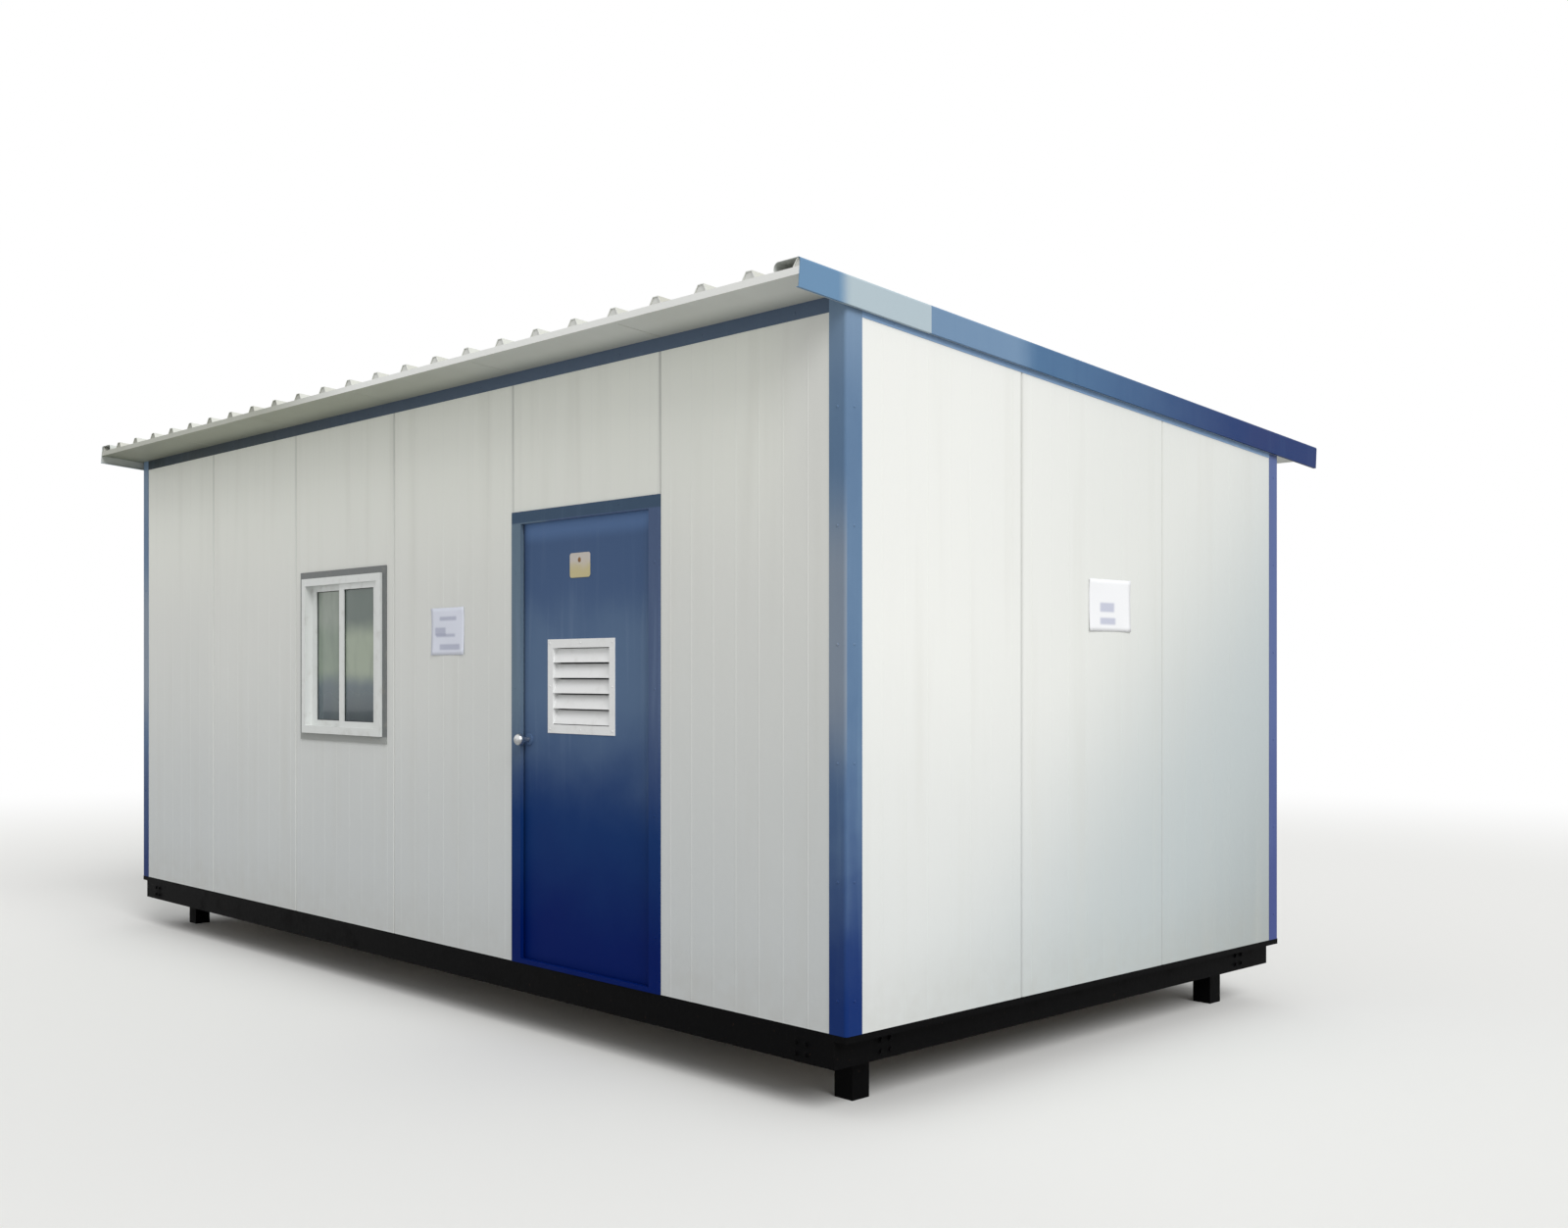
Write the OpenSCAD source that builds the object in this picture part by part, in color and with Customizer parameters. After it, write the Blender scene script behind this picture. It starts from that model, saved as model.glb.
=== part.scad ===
// Portable site cabin: sandwich-panel walls on a steel base, single-pitch ribbed roof,
// one inward-opening door and one sliding window. X runs along the front, the front
// faces -Y, Z is up, and the origin lies on the ground under the middle of the cabin.

/* [Cabin] */
// Width of one wall panel, and so of one bay of the front
bay_w = 1000; // [900:10:1200]
// Number of bays along the front
bays = 6; // [5:1:8]
// Depth over the outside faces of the front and back walls
cabin_d = 3000; // [2400:50:3600]
// Height from the foot of the front wall to the roof's underside
wall_h = 2580; // [2400:10:2800]
// Fall of the roof from front to back, in millimetres per metre
roof_fall = 80; // [40:5:120]
// Thickness of a wall panel
panel_t = 50; // [40:5:75]
// Bay that holds the door, counted from the right end
door_bay = 2; // [2:1:3]
// Bay that holds the window, counted from the right end
window_bay = 4; // [4:1:5]

/* [Panel joints] */
// Gap that shows between two panels
seam = 4; // [1:0.5:6]
// Width of the bevel on a panel's edge beside the gap
seam_bevel = 4; // [2:0.5:6]
// Thickness of the tongue on a panel's edge
tongue_t = 20; // [12:1:26]
// Reach of the tongue
tongue_d = 14; // [10:1:20]
// Clearance on each side of the tongue in its groove
tongue_gap = 1; // [0.5:0.5:2]

/* [Base] */
// Side of a square leg
leg_side = 90; // [70:5:120]
// Height of a leg
leg_h = 170; // [100:10:300]
// Wall of the leg's tube
leg_wall = 5; // [3:1:8]
// Thickness of the plate that closes a leg's foot
foot_t = 8; // [5:1:15]
// Distance from the end wall's face to a leg
leg_inset_x = 175; // [160:5:300]
// Distance from the front wall's face to a leg
leg_inset_y = 220; // [120:5:400]
// Height of the base rails and joists
rail_h = 100; // [80:5:150]
// Width of a base rail's flanges
rail_w = 50; // [40:5:65]
// Thickness of a base rail's metal
rail_t = 5; // [3:0.5:8]
// Distance that the base rails stop short of the end walls' faces
rail_setback = 57; // [40:1:70]
// Number of floor joists
joists = 7; // [4:1:10]
// Width of a joist's flanges
joist_w = 50; // [40:5:70]
// Thickness of a joist's metal
joist_t = 4; // [3:0.5:8]
// Width of the sill tube that the walls stand on
sill_w = 80; // [76:1:110]
// Height of the sill tube, and so of the floor deck between the sills
sill_h = 25; // [20:1:40]
// Wall of the sill tube
sill_t = 3; // [2:0.5:5]

/* [Wall trims] */
// Thickness of the folded metal trims
trim_t = 2; // [1:0.5:3]
// Width of a corner trim on each wall
corner_w = 80; // [60:5:110]
// Bend radius of a corner trim, on the outside
corner_r = 14; // [6:1:20]
// Height of the top track on the front and back faces
track_h = 55; // [40:5:80]
// Height of the top track on the end walls' faces
gable_track_h = 66; // [60:1:90]
// Height of the tracks' flange inside the cabin
track_inner_h = 40; // [25:5:60]

/* [Roof] */
// Thickness of the roof panel between its ribs
roof_t = 25; // [20:1:60]
// Ribs to each roof panel
ribs = 4; // [3:1:5]
// Height of a rib above the panel
rib_h = 31; // [25:1:40]
// Width of a rib at its foot
rib_base = 70; // [55:5:90]
// Width of a rib at its top
rib_top = 30; // [24:2:40]
// Metal left round the open end of a rib
rib_skin = 3; // [2:0.5:4]
// Depth of the opening in the end of a rib
rib_end_d = 40; // [20:5:80]
// Reach of the roof in front of the front wall
front_over = 250; // [150:10:400]
// Reach of the roof behind the back wall
back_over = 340; // [150:10:450]
// Reach of the roof panels past the end walls
verge_over = 20; // [16:1:60]
// Distance that the verge flashing hangs below the roof's underside
verge_drop = 46; // [20:1:60]
// Width of the verge flashing on top of the roof
verge_return = 125; // [100:5:160]
// Bend radius at the flashing's top edge, on the outside
verge_bend = 10; // [4:1:11]
// Radius of the curled hem of the flashing, on the outside
curl_r = 21; // [16:1:24]
// Width of the fold at the foot of the verge flashing
drip_w = 12; // [5:1:14]
// Width of the eave trim's fold under the roof
eave_fold = 25; // [15:5:50]
// Fitting gap between the eave trim and the ends of the roof panels
eave_gap = 0.2; // [0.1:0.1:1]

/* [Door frame] */
// Height of the door frame
frame_h = 1966; // [1850:2:2100]
// Width of the frame beside the leaf
jamb_face = 50; // [40:1:65]
// Height of the frame over the leaf
head_face = 40; // [28:1:60]
// Distance that the frame stands in front of the wall
frame_proud = 5; // [2:1:10]
// Overlap of the frame's stop past its rebate
stop_lap = 14; // [10:1:20]
// Running clearance round the leaf
door_gap = 7; // [6:0.5:8]
// Height of the stop on the threshold
threshold_h = 20; // [14:1:30]
// Thickness of the threshold plate under the leaf
threshold_t = 3; // [2:0.5:4]
// Height of the leaf's foot above the floor
leaf_foot = 10; // [9:1:14]

/* [Door leaf] */
// Thickness of the leaf
leaf_t = 40; // [35:1:50]
// Distance of the leaf's face behind the wall's face
leaf_recess = 20; // [15:1:28]
// Width of the vent over its flange
vent_w = 460; // [300:10:600]
// Height of the vent over its flange
vent_h = 400; // [300:10:500]
// Height of the vent's middle above the floor
vent_z = 1207; // [1100:1:1300]
// Distance of the vent's middle from the leaf's middle, towards the knob
vent_shift = 35; // [0:5:60]
// Width of the vent's flange on the leaf
vent_flange = 34; // [20:1:40]
// Wall of the vent's sleeve, and the thickness of its flange
vent_wall = 3; // [2:0.5:5]
// Number of vent slats
slats = 5; // [4:1:9]
// Part of the slat spacing that stays open, in hundredths
slat_open = 10; // [5:1:40]
// Thickness of a slat, measured front to back
slat_t = 4; // [3:0.5:6]

/* [Door hardware] */
// Height of one hinge
hinge_h = 90; // [70:2:120]
// Width of a hinge plate
hinge_plate_w = 36; // [30:1:38]
// Thickness of a hinge plate
hinge_plate_t = 3; // [2:0.5:4]
// Radius of a hinge knuckle
knuckle_r = 8; // [7:0.5:10]
// Radius of the hinge pin
pin_r = 4; // [3:0.5:5]
// Radial clearance of the hinge pin
pin_gap = 0.05; // [0.02:0.01:0.1]
// Height of one hinge half above the other
lift_gap = 0.3; // [0.2:0.1:0.8]
// Distance from the leaf's end to the middle of the end hinges
hinge_inset = 240; // [150:10:400]
// Height of the knob above the floor
knob_z = 975; // [880:5:1050]
// Distance of the knob from the leaf's edge
knob_backset = 42; // [40:1:75]
// Greatest radius of the knob
knob_r = 26; // [22:1:32]
// Reach of the knob from the leaf's face
knob_reach = 76; // [70:1:85]
// Length of the knob's rounded body
knob_body = 42; // [30:1:42]
// Radius of the spindle
spindle_r = 9; // [6:0.5:10]
// Radial clearance of the spindle in its rose
spindle_gap = 0.05; // [0.02:0.01:0.1]
// Radius of the rose
rose_r = 26; // [22:1:30]
// Thickness of the rose
rose_t = 6; // [4:1:8]

/* [Window] */
// Width of the hole cut for the window
window_w = 800; // [650:10:880]
// Height of the hole cut for the window
window_h = 805; // [600:5:1000]
// Height of the hole's foot above the wall's foot
window_z = 951; // [850:1:1100]
// Width of the grey cover strip round the window
cover_w = 35; // [20:1:44]
// Thickness of the cover strip
cover_t = 7; // [3:0.5:12]
// Width of the window frame's face
window_face = 38; // [30:1:60]
// Distance that the window frame stands in front of the wall
window_proud = 20; // [8:1:26]
// Depth of the window frame
window_depth = 80; // [70:1:95]
// Thickness of a sash
sash_t = 25; // [20:1:28]
// Width of a sash's upright stiles
stile_w = 45; // [35:1:60]
// Width of a sash's top and bottom rails
sash_rail_w = 30; // [20:1:45]
// Overlap of the two sashes in the middle
sash_lap = 48; // [45:1:70]
// Gap between the two sashes
sash_gap = 4; // [2:0.5:6]
// Thickness of the glass
glass_t = 5; // [4:1:8]

/* [Hidden] */
$fn = 48;

// Overall sizes and levels
cabin_l = bays * bay_w;
rail_top = leg_h + rail_h;
wall_foot = rail_top + sill_h;
slope = roof_fall / 1000;
roof_angle = atan(slope);
gable_panels = max(2, round(cabin_d / bay_w));
gable_bay = cabin_d / gable_panels;
plain_edge = 0;
corner_edge = 2;
tongue = 1;
groove = -1;

// Roof sizes in the roof's own plane
roof_y0 = -front_over / cos(roof_angle);
roof_y1 = (cabin_d + back_over) / cos(roof_angle);
roof_edge = cabin_l / 2 + verge_over;
roof_panel_w = 2 * roof_edge / bays;
rib_pitch = roof_panel_w / ribs;
rib_crest = roof_t + rib_h;
verge_top = rib_crest + trim_t;

// The flashings set the cabin's extent in Y, and its middle becomes the origin
extent_y0 = (roof_y0 - trim_t) * cos(roof_angle) - verge_drop * sin(roof_angle);
extent_y1 = (roof_y1 + trim_t) * cos(roof_angle) + verge_top * sin(roof_angle);
front_y = -(extent_y0 + extent_y1) / 2;
mid_y = front_y + cabin_d / 2;
back_y = front_y + cabin_d;

// Door
door_x = cabin_l / 2 - door_bay * bay_w;
frame_w = bay_w + seam;
jamb_h = frame_h - head_face;
stop_back = leaf_recess - door_gap;
leaf_back = leaf_recess + leaf_t;
leaf_x = jamb_face + door_gap;
leaf_w = bay_w - 2 * leaf_x;
leaf_top = jamb_h - door_gap;
stop_x = jamb_face + stop_lap;
vent_x = bay_w / 2 - vent_shift;
sleeve_w = vent_w - 2 * vent_flange;
sleeve_h = vent_h - 2 * vent_flange;
slat_pitch = (sleeve_h - 2 * vent_wall) / slats;
knuckle_clear = 2;
hinge_x = bay_w - jamb_face - door_gap / 2;
hinge_y = leaf_back + knuckle_clear + knuckle_r;
hinge_half = hinge_h / 2;
plate_gap = knuckle_r + knuckle_clear;
hinge_levels = [leaf_foot + hinge_inset, (leaf_foot + leaf_top) / 2, leaf_top - hinge_inset];
knob_x = leaf_x + knob_backset;
knob_gap = 0.3;
neck_r = spindle_r + 2;
leaf_bore_r = spindle_r + 4;

// Window
window_x = cabin_l / 2 - (window_bay - 0.5) * bay_w;
clear_w = window_w - 2 * window_face;
clear_h = window_h - 2 * window_face;
sash_w = (clear_w + sash_lap) / 2;
pane_w = sash_w - 2 * stile_w;
pane_h = clear_h - 2 * sash_rail_w;
sash_y0 = -window_proud + (window_depth - 2 * sash_t - sash_gap) / 2;

// Colours
white = "#eceee9";
blue = "#2f548c";
black = "#17181a";
grey = "#8f948f";

// Height of the roof's underside at a distance behind the front wall's face
function soffit_z(y) = wall_foot + wall_h - slope * y;

function reversed(list) = [for (i = [len(list) - 1 : -1 : 0]) list[i]];

// Draws in a frame whose Y starts at the front wall's outside face
module from_front() translate([0, front_y, 0]) children();

// Extrudes a section drawn in Y and Z along X, about the middle
module along_x(length) rotate([90, 0, 90]) linear_extrude(length, center = true) children();

// Extrudes a section drawn in X and Z along Y, about the middle
module along_y(length) rotate([90, 0, 0]) linear_extrude(length, center = true) children();

// Places a child drawn for the front wall on the front, and its turned copy on the back
module front_and_back() {
    translate([0, front_y, 0]) children();
    translate([0, back_y, 0]) rotate(180) children();
}

// Places a child drawn with its outside face at Y = 0 on both ends, at a given X
module both_ends(x) {
    translate([x, mid_y, 0]) rotate(90) children();
    translate([-x, mid_y, 0]) rotate(-90) children();
}

// Base

module channel(w, h, t) {
    difference() {
        square([w, h]);
        translate([t, t]) square([w, h - 2 * t]);
    }
}

module tube(w, h, t) {
    difference() {
        square([w, h]);
        translate([t, t]) square([w - 2 * t, h - 2 * t]);
    }
}

// A bar of a rectangular frame, mitred at both ends, with its outside face at Y = 0
module mitred_bar(length, w, h) {
    intersection() {
        linear_extrude(h)
            polygon([[-length / 2, 0], [length / 2, 0], [length / 2 - w, w], [w - length / 2, w]]);
        along_x(length) children();
    }
}

module base_legs() {
    leg_x = cabin_l / 2 - leg_inset_x - leg_side / 2;
    leg_y = cabin_d / 2 - leg_inset_y - leg_side / 2;
    color(black)
        for (sx = [-1, 1], sy = [-1, 1])
            translate([sx * leg_x - leg_side / 2, mid_y + sy * leg_y - leg_side / 2, 0])
                difference() {
                    cube([leg_side, leg_side, leg_h]);
                    translate([leg_wall, leg_wall, foot_t])
                        cube([leg_side - 2 * leg_wall, leg_side - 2 * leg_wall, leg_h]);
                }
}

module base_rails_long() {
    color(black)
        translate([0, 0, leg_h])
            front_and_back()
                mitred_bar(cabin_l - 2 * rail_setback, rail_w, rail_h) channel(rail_w, rail_h, rail_t);
}

module base_rails_end() {
    color(black)
        translate([0, 0, leg_h])
            both_ends(cabin_l / 2 - rail_setback)
                mitred_bar(cabin_d, rail_w, rail_h) channel(rail_w, rail_h, rail_t);
}

// A joist runs between the rails' flanges, and its web reaches in to the rails' webs
module joist() {
    along_y(cabin_d - 2 * rail_w) channel(joist_w, rail_h, joist_t);
    along_y(cabin_d - 2 * rail_t) translate([0, rail_t]) square([joist_t, rail_h - 2 * rail_t]);
}

module floor_joists() {
    outer_x = cabin_l / 2 - leg_inset_x - leg_side / 2;
    spacing = 2 * outer_x / (joists - 1);
    color(black)
        for (i = [0 : joists - 1])
            translate([i * spacing - outer_x - joist_w / 2, mid_y, leg_h]) joist();
}

module sills_long() {
    color(black)
        translate([0, 0, rail_top])
            front_and_back() mitred_bar(cabin_l, sill_w, sill_h) tube(sill_w, sill_h, sill_t);
}

module sills_end() {
    color(black)
        translate([0, 0, rail_top])
            both_ends(cabin_l / 2) mitred_bar(cabin_d, sill_w, sill_h) tube(sill_w, sill_h, sill_t);
}

module floor_deck() {
    color("#8a7f70")
        translate([sill_w - cabin_l / 2, front_y + sill_w, rail_top])
            cube([cabin_l - 2 * sill_w, cabin_d - 2 * sill_w, sill_h]);
}

// Walls

// The plan of one edge of a panel at x; out is 1 on its right edge and -1 on its left.
// An edge at a corner of the cabin is cut back to clear the corner trim's bend.
function panel_edge(x, out, kind) =
    let (
        middle = panel_t / 2,
        half = tongue_t / 2 + (kind == groove ? tongue_gap : 0),
        tip = x + out * kind * tongue_d
    )
    kind == plain_edge ? [[x, 0], [x, panel_t]] :
    kind == corner_edge ? [[x - out * corner_r, 0], [x, corner_r], [x, panel_t]] :
    [[x - out * seam_bevel, 0], [x, seam_bevel], [x, middle - half], [tip, middle - half],
        [tip, middle + half], [x, middle + half], [x, panel_t]];

// A panel's plan, w wide over its joints, with its outside face at Y = 0
module panel_plan(w, left, right) {
    left_x = abs(left) == 1 ? seam / 2 : 0;
    right_x = abs(right) == 1 ? w - seam / 2 : w;
    polygon(concat(panel_edge(right_x, 1, right), reversed(panel_edge(left_x, -1, left))));
}

// Everything under the roof, in the frame that starts at the front wall
module below_soffit(drop) {
    along_x(cabin_l + 2 * bay_w)
        polygon([[-cabin_d, 0], [2 * cabin_d, 0], [2 * cabin_d, soffit_z(2 * cabin_d) - drop],
            [-cabin_d, soffit_z(-cabin_d) - drop]]);
}

// Panels with even numbers have tongues and odd ones have grooves
function joint_kind(i) = i % 2 == 0 ? tongue : groove;

// Panel i of a long wall, counted from the right end, from z0 up to the roof
module front_panel(i, z0) {
    left = i == bays ? corner_edge : joint_kind(i);
    right = i == 1 ? corner_edge : joint_kind(i);
    from_front()
        intersection() {
            translate([cabin_l / 2 - i * bay_w, 0, z0])
                linear_extrude(wall_h) panel_plan(bay_w, left, right);
            below_soffit(trim_t);
        }
}

module back_panel(i) {
    left = i == bays ? corner_edge : joint_kind(i);
    right = i == 1 ? corner_edge : joint_kind(i);
    from_front()
        intersection() {
            translate([i * bay_w - cabin_l / 2, cabin_d, wall_foot])
                rotate(180) linear_extrude(wall_h) panel_plan(bay_w, left, right);
            below_soffit(trim_t);
        }
}

// An end wall's panels stand between the front and back walls
module gable_panels(side) {
    for (i = [0 : gable_panels - 1]) {
        first = i == 0;
        last = i == gable_panels - 1;
        y0 = first ? panel_t : i * gable_bay;
        y1 = last ? cabin_d - panel_t : (i + 1) * gable_bay;
        near = first ? plain_edge : joint_kind(i + 1);
        far = last ? plain_edge : joint_kind(i + 1);
        from_front()
            intersection() {
                mirror([side < 0 ? 1 : 0, 0, 0])
                    translate([cabin_l / 2, y0, wall_foot])
                        rotate(90) linear_extrude(wall_h) panel_plan(y1 - y0, near, far);
                below_soffit(trim_t);
            }
    }
}

module front_panels() {
    color(white)
        for (i = [1 : bays])
            if (i != door_bay && i != window_bay) front_panel(i, wall_foot);
}

module front_panel_over_door() {
    color(white) front_panel(door_bay, wall_foot + frame_h);
}

module front_panel_window() {
    color(white)
        difference() {
            front_panel(window_bay, wall_foot);
            from_front()
                translate([window_x - window_w / 2, -panel_t, wall_foot + window_z])
                    cube([window_w, 3 * panel_t, window_h]);
        }
}

module back_panels() {
    color(white)
        for (i = [1 : bays]) back_panel(i);
}

module gable_panels_right() {
    color(white) gable_panels(1);
}

module gable_panels_left() {
    color(white) gable_panels(-1);
}

// Trims

// A square with one rounded corner at the origin
module corner_square(side, r) {
    translate([r, 0]) square([side - r, side]);
    translate([0, r]) square([side, side - r]);
    translate([r, r]) circle(r);
}

// The plan of a corner trim, with the outside faces of the walls at X = 0 and Y = 0
module corner_plan() {
    difference() {
        translate([-trim_t, -trim_t]) corner_square(corner_w + trim_t, corner_r);
        corner_square(2 * corner_w, corner_r - trim_t);
    }
}

module corner_trims() {
    color(blue)
        from_front()
            intersection() {
                for (sx = [0, 1], sy = [0, 1])
                    translate([0, cabin_d / 2, wall_foot])
                        mirror([sx, 0, 0]) mirror([0, sy, 0])
                            translate([-cabin_l / 2, -cabin_d / 2, 0])
                                linear_extrude(wall_h + cabin_d * slope) corner_plan();
                below_soffit(0);
            }
}

// An upturned channel over a wall's top edge; its outside face is at Y = 0, its top slopes
module track_section(fall) {
    inner = panel_t + trim_t;
    polygon([[-trim_t, fall * trim_t], [inner, -fall * inner], [inner, -fall * inner - track_inner_h],
        [panel_t, -fall * panel_t - track_inner_h], [panel_t, -fall * panel_t - trim_t], [0, -trim_t],
        [0, -track_h], [-trim_t, -track_h]]);
}

module top_track_front() {
    color(blue)
        translate([0, front_y, soffit_z(0)])
            along_x(cabin_l - 2 * corner_w) track_section(slope);
}

module top_track_back() {
    color(blue)
        translate([0, back_y, soffit_z(cabin_d)])
            rotate(180) along_x(cabin_l - 2 * corner_w) track_section(-slope);
}

// A strip that follows the roof's underside, between two drops below it
module slope_strip(x0, x1, top_drop, foot_drop) {
    y0 = corner_w;
    y1 = cabin_d - corner_w;
    translate([x0, 0, 0])
        rotate([90, 0, 90])
            linear_extrude(x1 - x0)
                polygon([[y0, soffit_z(y0) - foot_drop], [y1, soffit_z(y1) - foot_drop],
                    [y1, soffit_z(y1) - top_drop], [y0, soffit_z(y0) - top_drop]]);
}

module gable_track() {
    outer = cabin_l / 2;
    inner = outer - panel_t;
    slope_strip(inner - trim_t, outer + trim_t, 0, trim_t);
    slope_strip(outer, outer + trim_t, 0, gable_track_h);
    slope_strip(inner - trim_t, inner, 0, track_inner_h);
}

module gable_tracks() {
    color(blue)
        from_front()
            for (side = [0, 1]) mirror([side, 0, 0]) gable_track();
}

// Roof

// Draws in the roof's plane: Y runs down the fall from the front wall, Z = 0 is the underside
module on_roof() {
    translate([0, front_y, soffit_z(0)]) rotate([-roof_angle, 0, 0]) children();
}

// Section of a roof panel; its side ribs are halves that meet the next panel's, and a rib at
// the roof's edge is cut back to clear the flashing's bend
module roof_section(left_gap, right_gap) {
    foot = rib_base / 2;
    crest = rib_top / 2;
    right = roof_panel_w - right_gap;
    left_crest = left_gap > 0 ? [[left_gap, rib_crest]] :
        [[0, rib_crest - verge_bend], [verge_bend, rib_crest]];
    right_crest = right_gap > 0 ? [[right, rib_crest]] :
        [[right - verge_bend, rib_crest], [right, rib_crest - verge_bend]];
    middle_ribs = [for (k = [1 : ribs - 1], p = [[-foot, roof_t], [-crest, rib_crest],
        [crest, rib_crest], [foot, roof_t]]) [k * rib_pitch + p[0], p[1]]];
    polygon(concat([[left_gap, 0]], left_crest, [[crest, rib_crest], [foot, roof_t]], middle_ribs,
        [[roof_panel_w - foot, roof_t], [roof_panel_w - crest, rib_crest]], right_crest, [[right, 0]]));
}

// Section of the hollow that shows at the end of a rib
module rib_hollow() {
    foot = rib_base / 2 - 2 * rib_skin;
    crest = rib_top / 2 - rib_skin / 2;
    polygon([[-foot, roof_t + rib_skin / 2], [foot, roof_t + rib_skin / 2], [crest, rib_crest - rib_skin],
        [-crest, rib_crest - rib_skin]]);
}

module roof_panel(i) {
    left_gap = i == 0 ? 0 : seam / 2;
    right_gap = i == bays - 1 ? 0 : seam / 2;
    translate([i * roof_panel_w - roof_edge, (roof_y0 + roof_y1) / 2, 0])
        difference() {
            along_y(roof_y1 - roof_y0) roof_section(left_gap, right_gap);
            for (k = [0 : ribs], end = [-1, 1])
                translate([k * rib_pitch, end * (roof_y1 - roof_y0) / 2, 0])
                    along_y(2 * rib_end_d) rib_hollow();
        }
}

module roof_panels() {
    color("#d3d5cf")
        on_roof()
            for (i = [0 : bays - 1]) roof_panel(i);
}

// A strip bent to a half circle that opens towards +X, cut off level on its lower side
module curl(r, cut_z) {
    difference() {
        circle(r);
        circle(r - trim_t);
        translate([0, -2 * r]) square(4 * r);
        translate([-2 * r, cut_z - 4 * r]) square(4 * r);
    }
}

// Section of a verge flashing: outer leg, drip fold, bent top sheet and a curled hem over the roof
module verge_section() {
    outer = roof_edge + trim_t;
    curl_x = roof_edge - verge_return + curl_r;
    bend_x = outer - verge_bend;
    bend_z = verge_top - verge_bend;
    translate([roof_edge, -verge_drop]) square([trim_t, bend_z + verge_drop]);
    translate([roof_edge - drip_w, -verge_drop]) square([drip_w + trim_t, trim_t]);
    translate([curl_x, rib_crest]) square([bend_x - curl_x, trim_t]);
    translate([bend_x, bend_z])
        intersection() {
            rotate(180) curl(verge_bend, -verge_bend);
            square(verge_bend);
        }
    translate([curl_x, verge_top - curl_r]) curl(curl_r, -curl_r / 2);
}

module verge_flashings() {
    color(blue)
        on_roof()
            for (side = [0, 1])
                mirror([side, 0, 0])
                    translate([0, (roof_y0 + roof_y1) / 2, 0])
                        along_y(roof_y1 - roof_y0 + 2 * trim_t) verge_section();
}

// Section of an eave trim: a face over the panels' ends and a fold under them
module eave_section() {
    translate([-trim_t, -trim_t]) square([trim_t, roof_t + trim_t]);
    translate([-trim_t, -trim_t]) square([eave_fold + trim_t, trim_t]);
}

module eave_trims() {
    color(white)
        on_roof() {
            translate([0, roof_y0 - eave_gap, 0]) along_x(2 * roof_edge) eave_section();
            translate([0, roof_y1 + eave_gap, 0]) rotate(180) along_x(2 * roof_edge) eave_section();
        }
}

// Door frame

// Draws from the door bay's left edge, the wall's outside face and the wall's foot
module in_doorway() translate([door_x, front_y, wall_foot]) children();

// Plan of the left jamb: a post with a stop in front of the leaf
module jamb_plan() {
    polygon([[-seam / 2, -frame_proud], [stop_x, -frame_proud], [stop_x, stop_back],
        [jamb_face, stop_back], [jamb_face, leaf_back], [-seam / 2, leaf_back]]);
}

module door_jambs() {
    color(blue)
        in_doorway() {
            linear_extrude(jamb_h) jamb_plan();
            translate([bay_w, 0, 0]) mirror([1, 0, 0]) linear_extrude(jamb_h) jamb_plan();
        }
}

module door_head() {
    color(blue)
        in_doorway() {
            translate([-seam / 2, -frame_proud, jamb_h])
                cube([frame_w, frame_proud + leaf_back, head_face]);
            translate([stop_x, -frame_proud, jamb_h - stop_lap])
                cube([bay_w - 2 * stop_x, frame_proud + stop_back, stop_lap + head_face]);
        }
}

module door_threshold() {
    color(blue)
        in_doorway() {
            translate([stop_x, -frame_proud, 0])
                cube([bay_w - 2 * stop_x, frame_proud + stop_back, threshold_h]);
            translate([jamb_face, stop_back, 0])
                cube([bay_w - 2 * jamb_face, leaf_t + door_gap, threshold_t]);
        }
}

// Door leaf, vent and hardware

module door_leaf() {
    color(blue)
        in_doorway()
            difference() {
                translate([leaf_x, leaf_recess, leaf_foot]) cube([leaf_w, leaf_t, leaf_top - leaf_foot]);
                translate([vent_x - sleeve_w / 2, 0, vent_z - sleeve_h / 2])
                    cube([sleeve_w, 2 * leaf_back, sleeve_h]);
                translate([knob_x, 0, knob_z])
                    rotate([-90, 0, 0]) cylinder(r = leaf_bore_r, h = 2 * leaf_back);
            }
}

// A ring in X and Z, w by h, drawn about the origin and running back from y0
module ring(w, h, border, y0, depth) {
    translate([-w / 2, y0, -h / 2])
        difference() {
            cube([w, depth, h]);
            translate([border, -depth, border]) cube([w - 2 * border, 3 * depth, h - 2 * border]);
        }
}

// A slat leans back as it rises, and its foot is near the face
module slat(z0) {
    rise = slat_pitch * (1 - slat_open / 100);
    lean = leaf_t * 0.6;
    translate([0, leaf_recess, z0])
        along_x(sleeve_w - vent_wall)
            polygon([[0, 0], [slat_t, 0], [lean + slat_t, rise], [lean, rise]]);
}

module door_vent() {
    color(white)
        in_doorway()
            translate([vent_x, 0, vent_z]) {
                ring(vent_w, vent_h, vent_flange + vent_wall, leaf_recess - vent_wall, vent_wall);
                ring(sleeve_w, sleeve_h, vent_wall, leaf_recess - vent_wall, leaf_t + vent_wall);
                for (i = [0 : slats - 1])
                    slat(vent_wall - sleeve_h / 2 + slat_pitch * (i + slat_open / 200));
            }
}

// One plate with its tongue and knuckle; the knuckle starts at z0 and the plate lies at +X
module hinge_half_shape(z0, length) {
    cylinder(r = knuckle_r, h = length);
    translate([0, -plate_gap, 0]) cube([plate_gap, hinge_plate_t, length]);
    translate([plate_gap, -plate_gap, z0 - hinge_half])
        cube([hinge_plate_w, hinge_plate_t, hinge_h]);
}

module at_hinges() {
    in_doorway()
        for (level = hinge_levels) translate([hinge_x, hinge_y, level]) children();
}

module hinge_frame_halves() {
    color("silver")
        at_hinges() {
            translate([0, 0, -hinge_half]) hinge_half_shape(hinge_half, hinge_half);
            translate([0, 0, -hinge_half]) cylinder(r = pin_r, h = hinge_h - pin_r);
        }
}

module hinge_door_halves() {
    color("silver")
        at_hinges()
            mirror([1, 0, 0])
                difference() {
                    translate([0, 0, lift_gap]) hinge_half_shape(-lift_gap, hinge_half - lift_gap);
                    translate([0, 0, -hinge_h]) cylinder(r = pin_r + pin_gap, h = 2 * hinge_h);
                }
}

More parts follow.
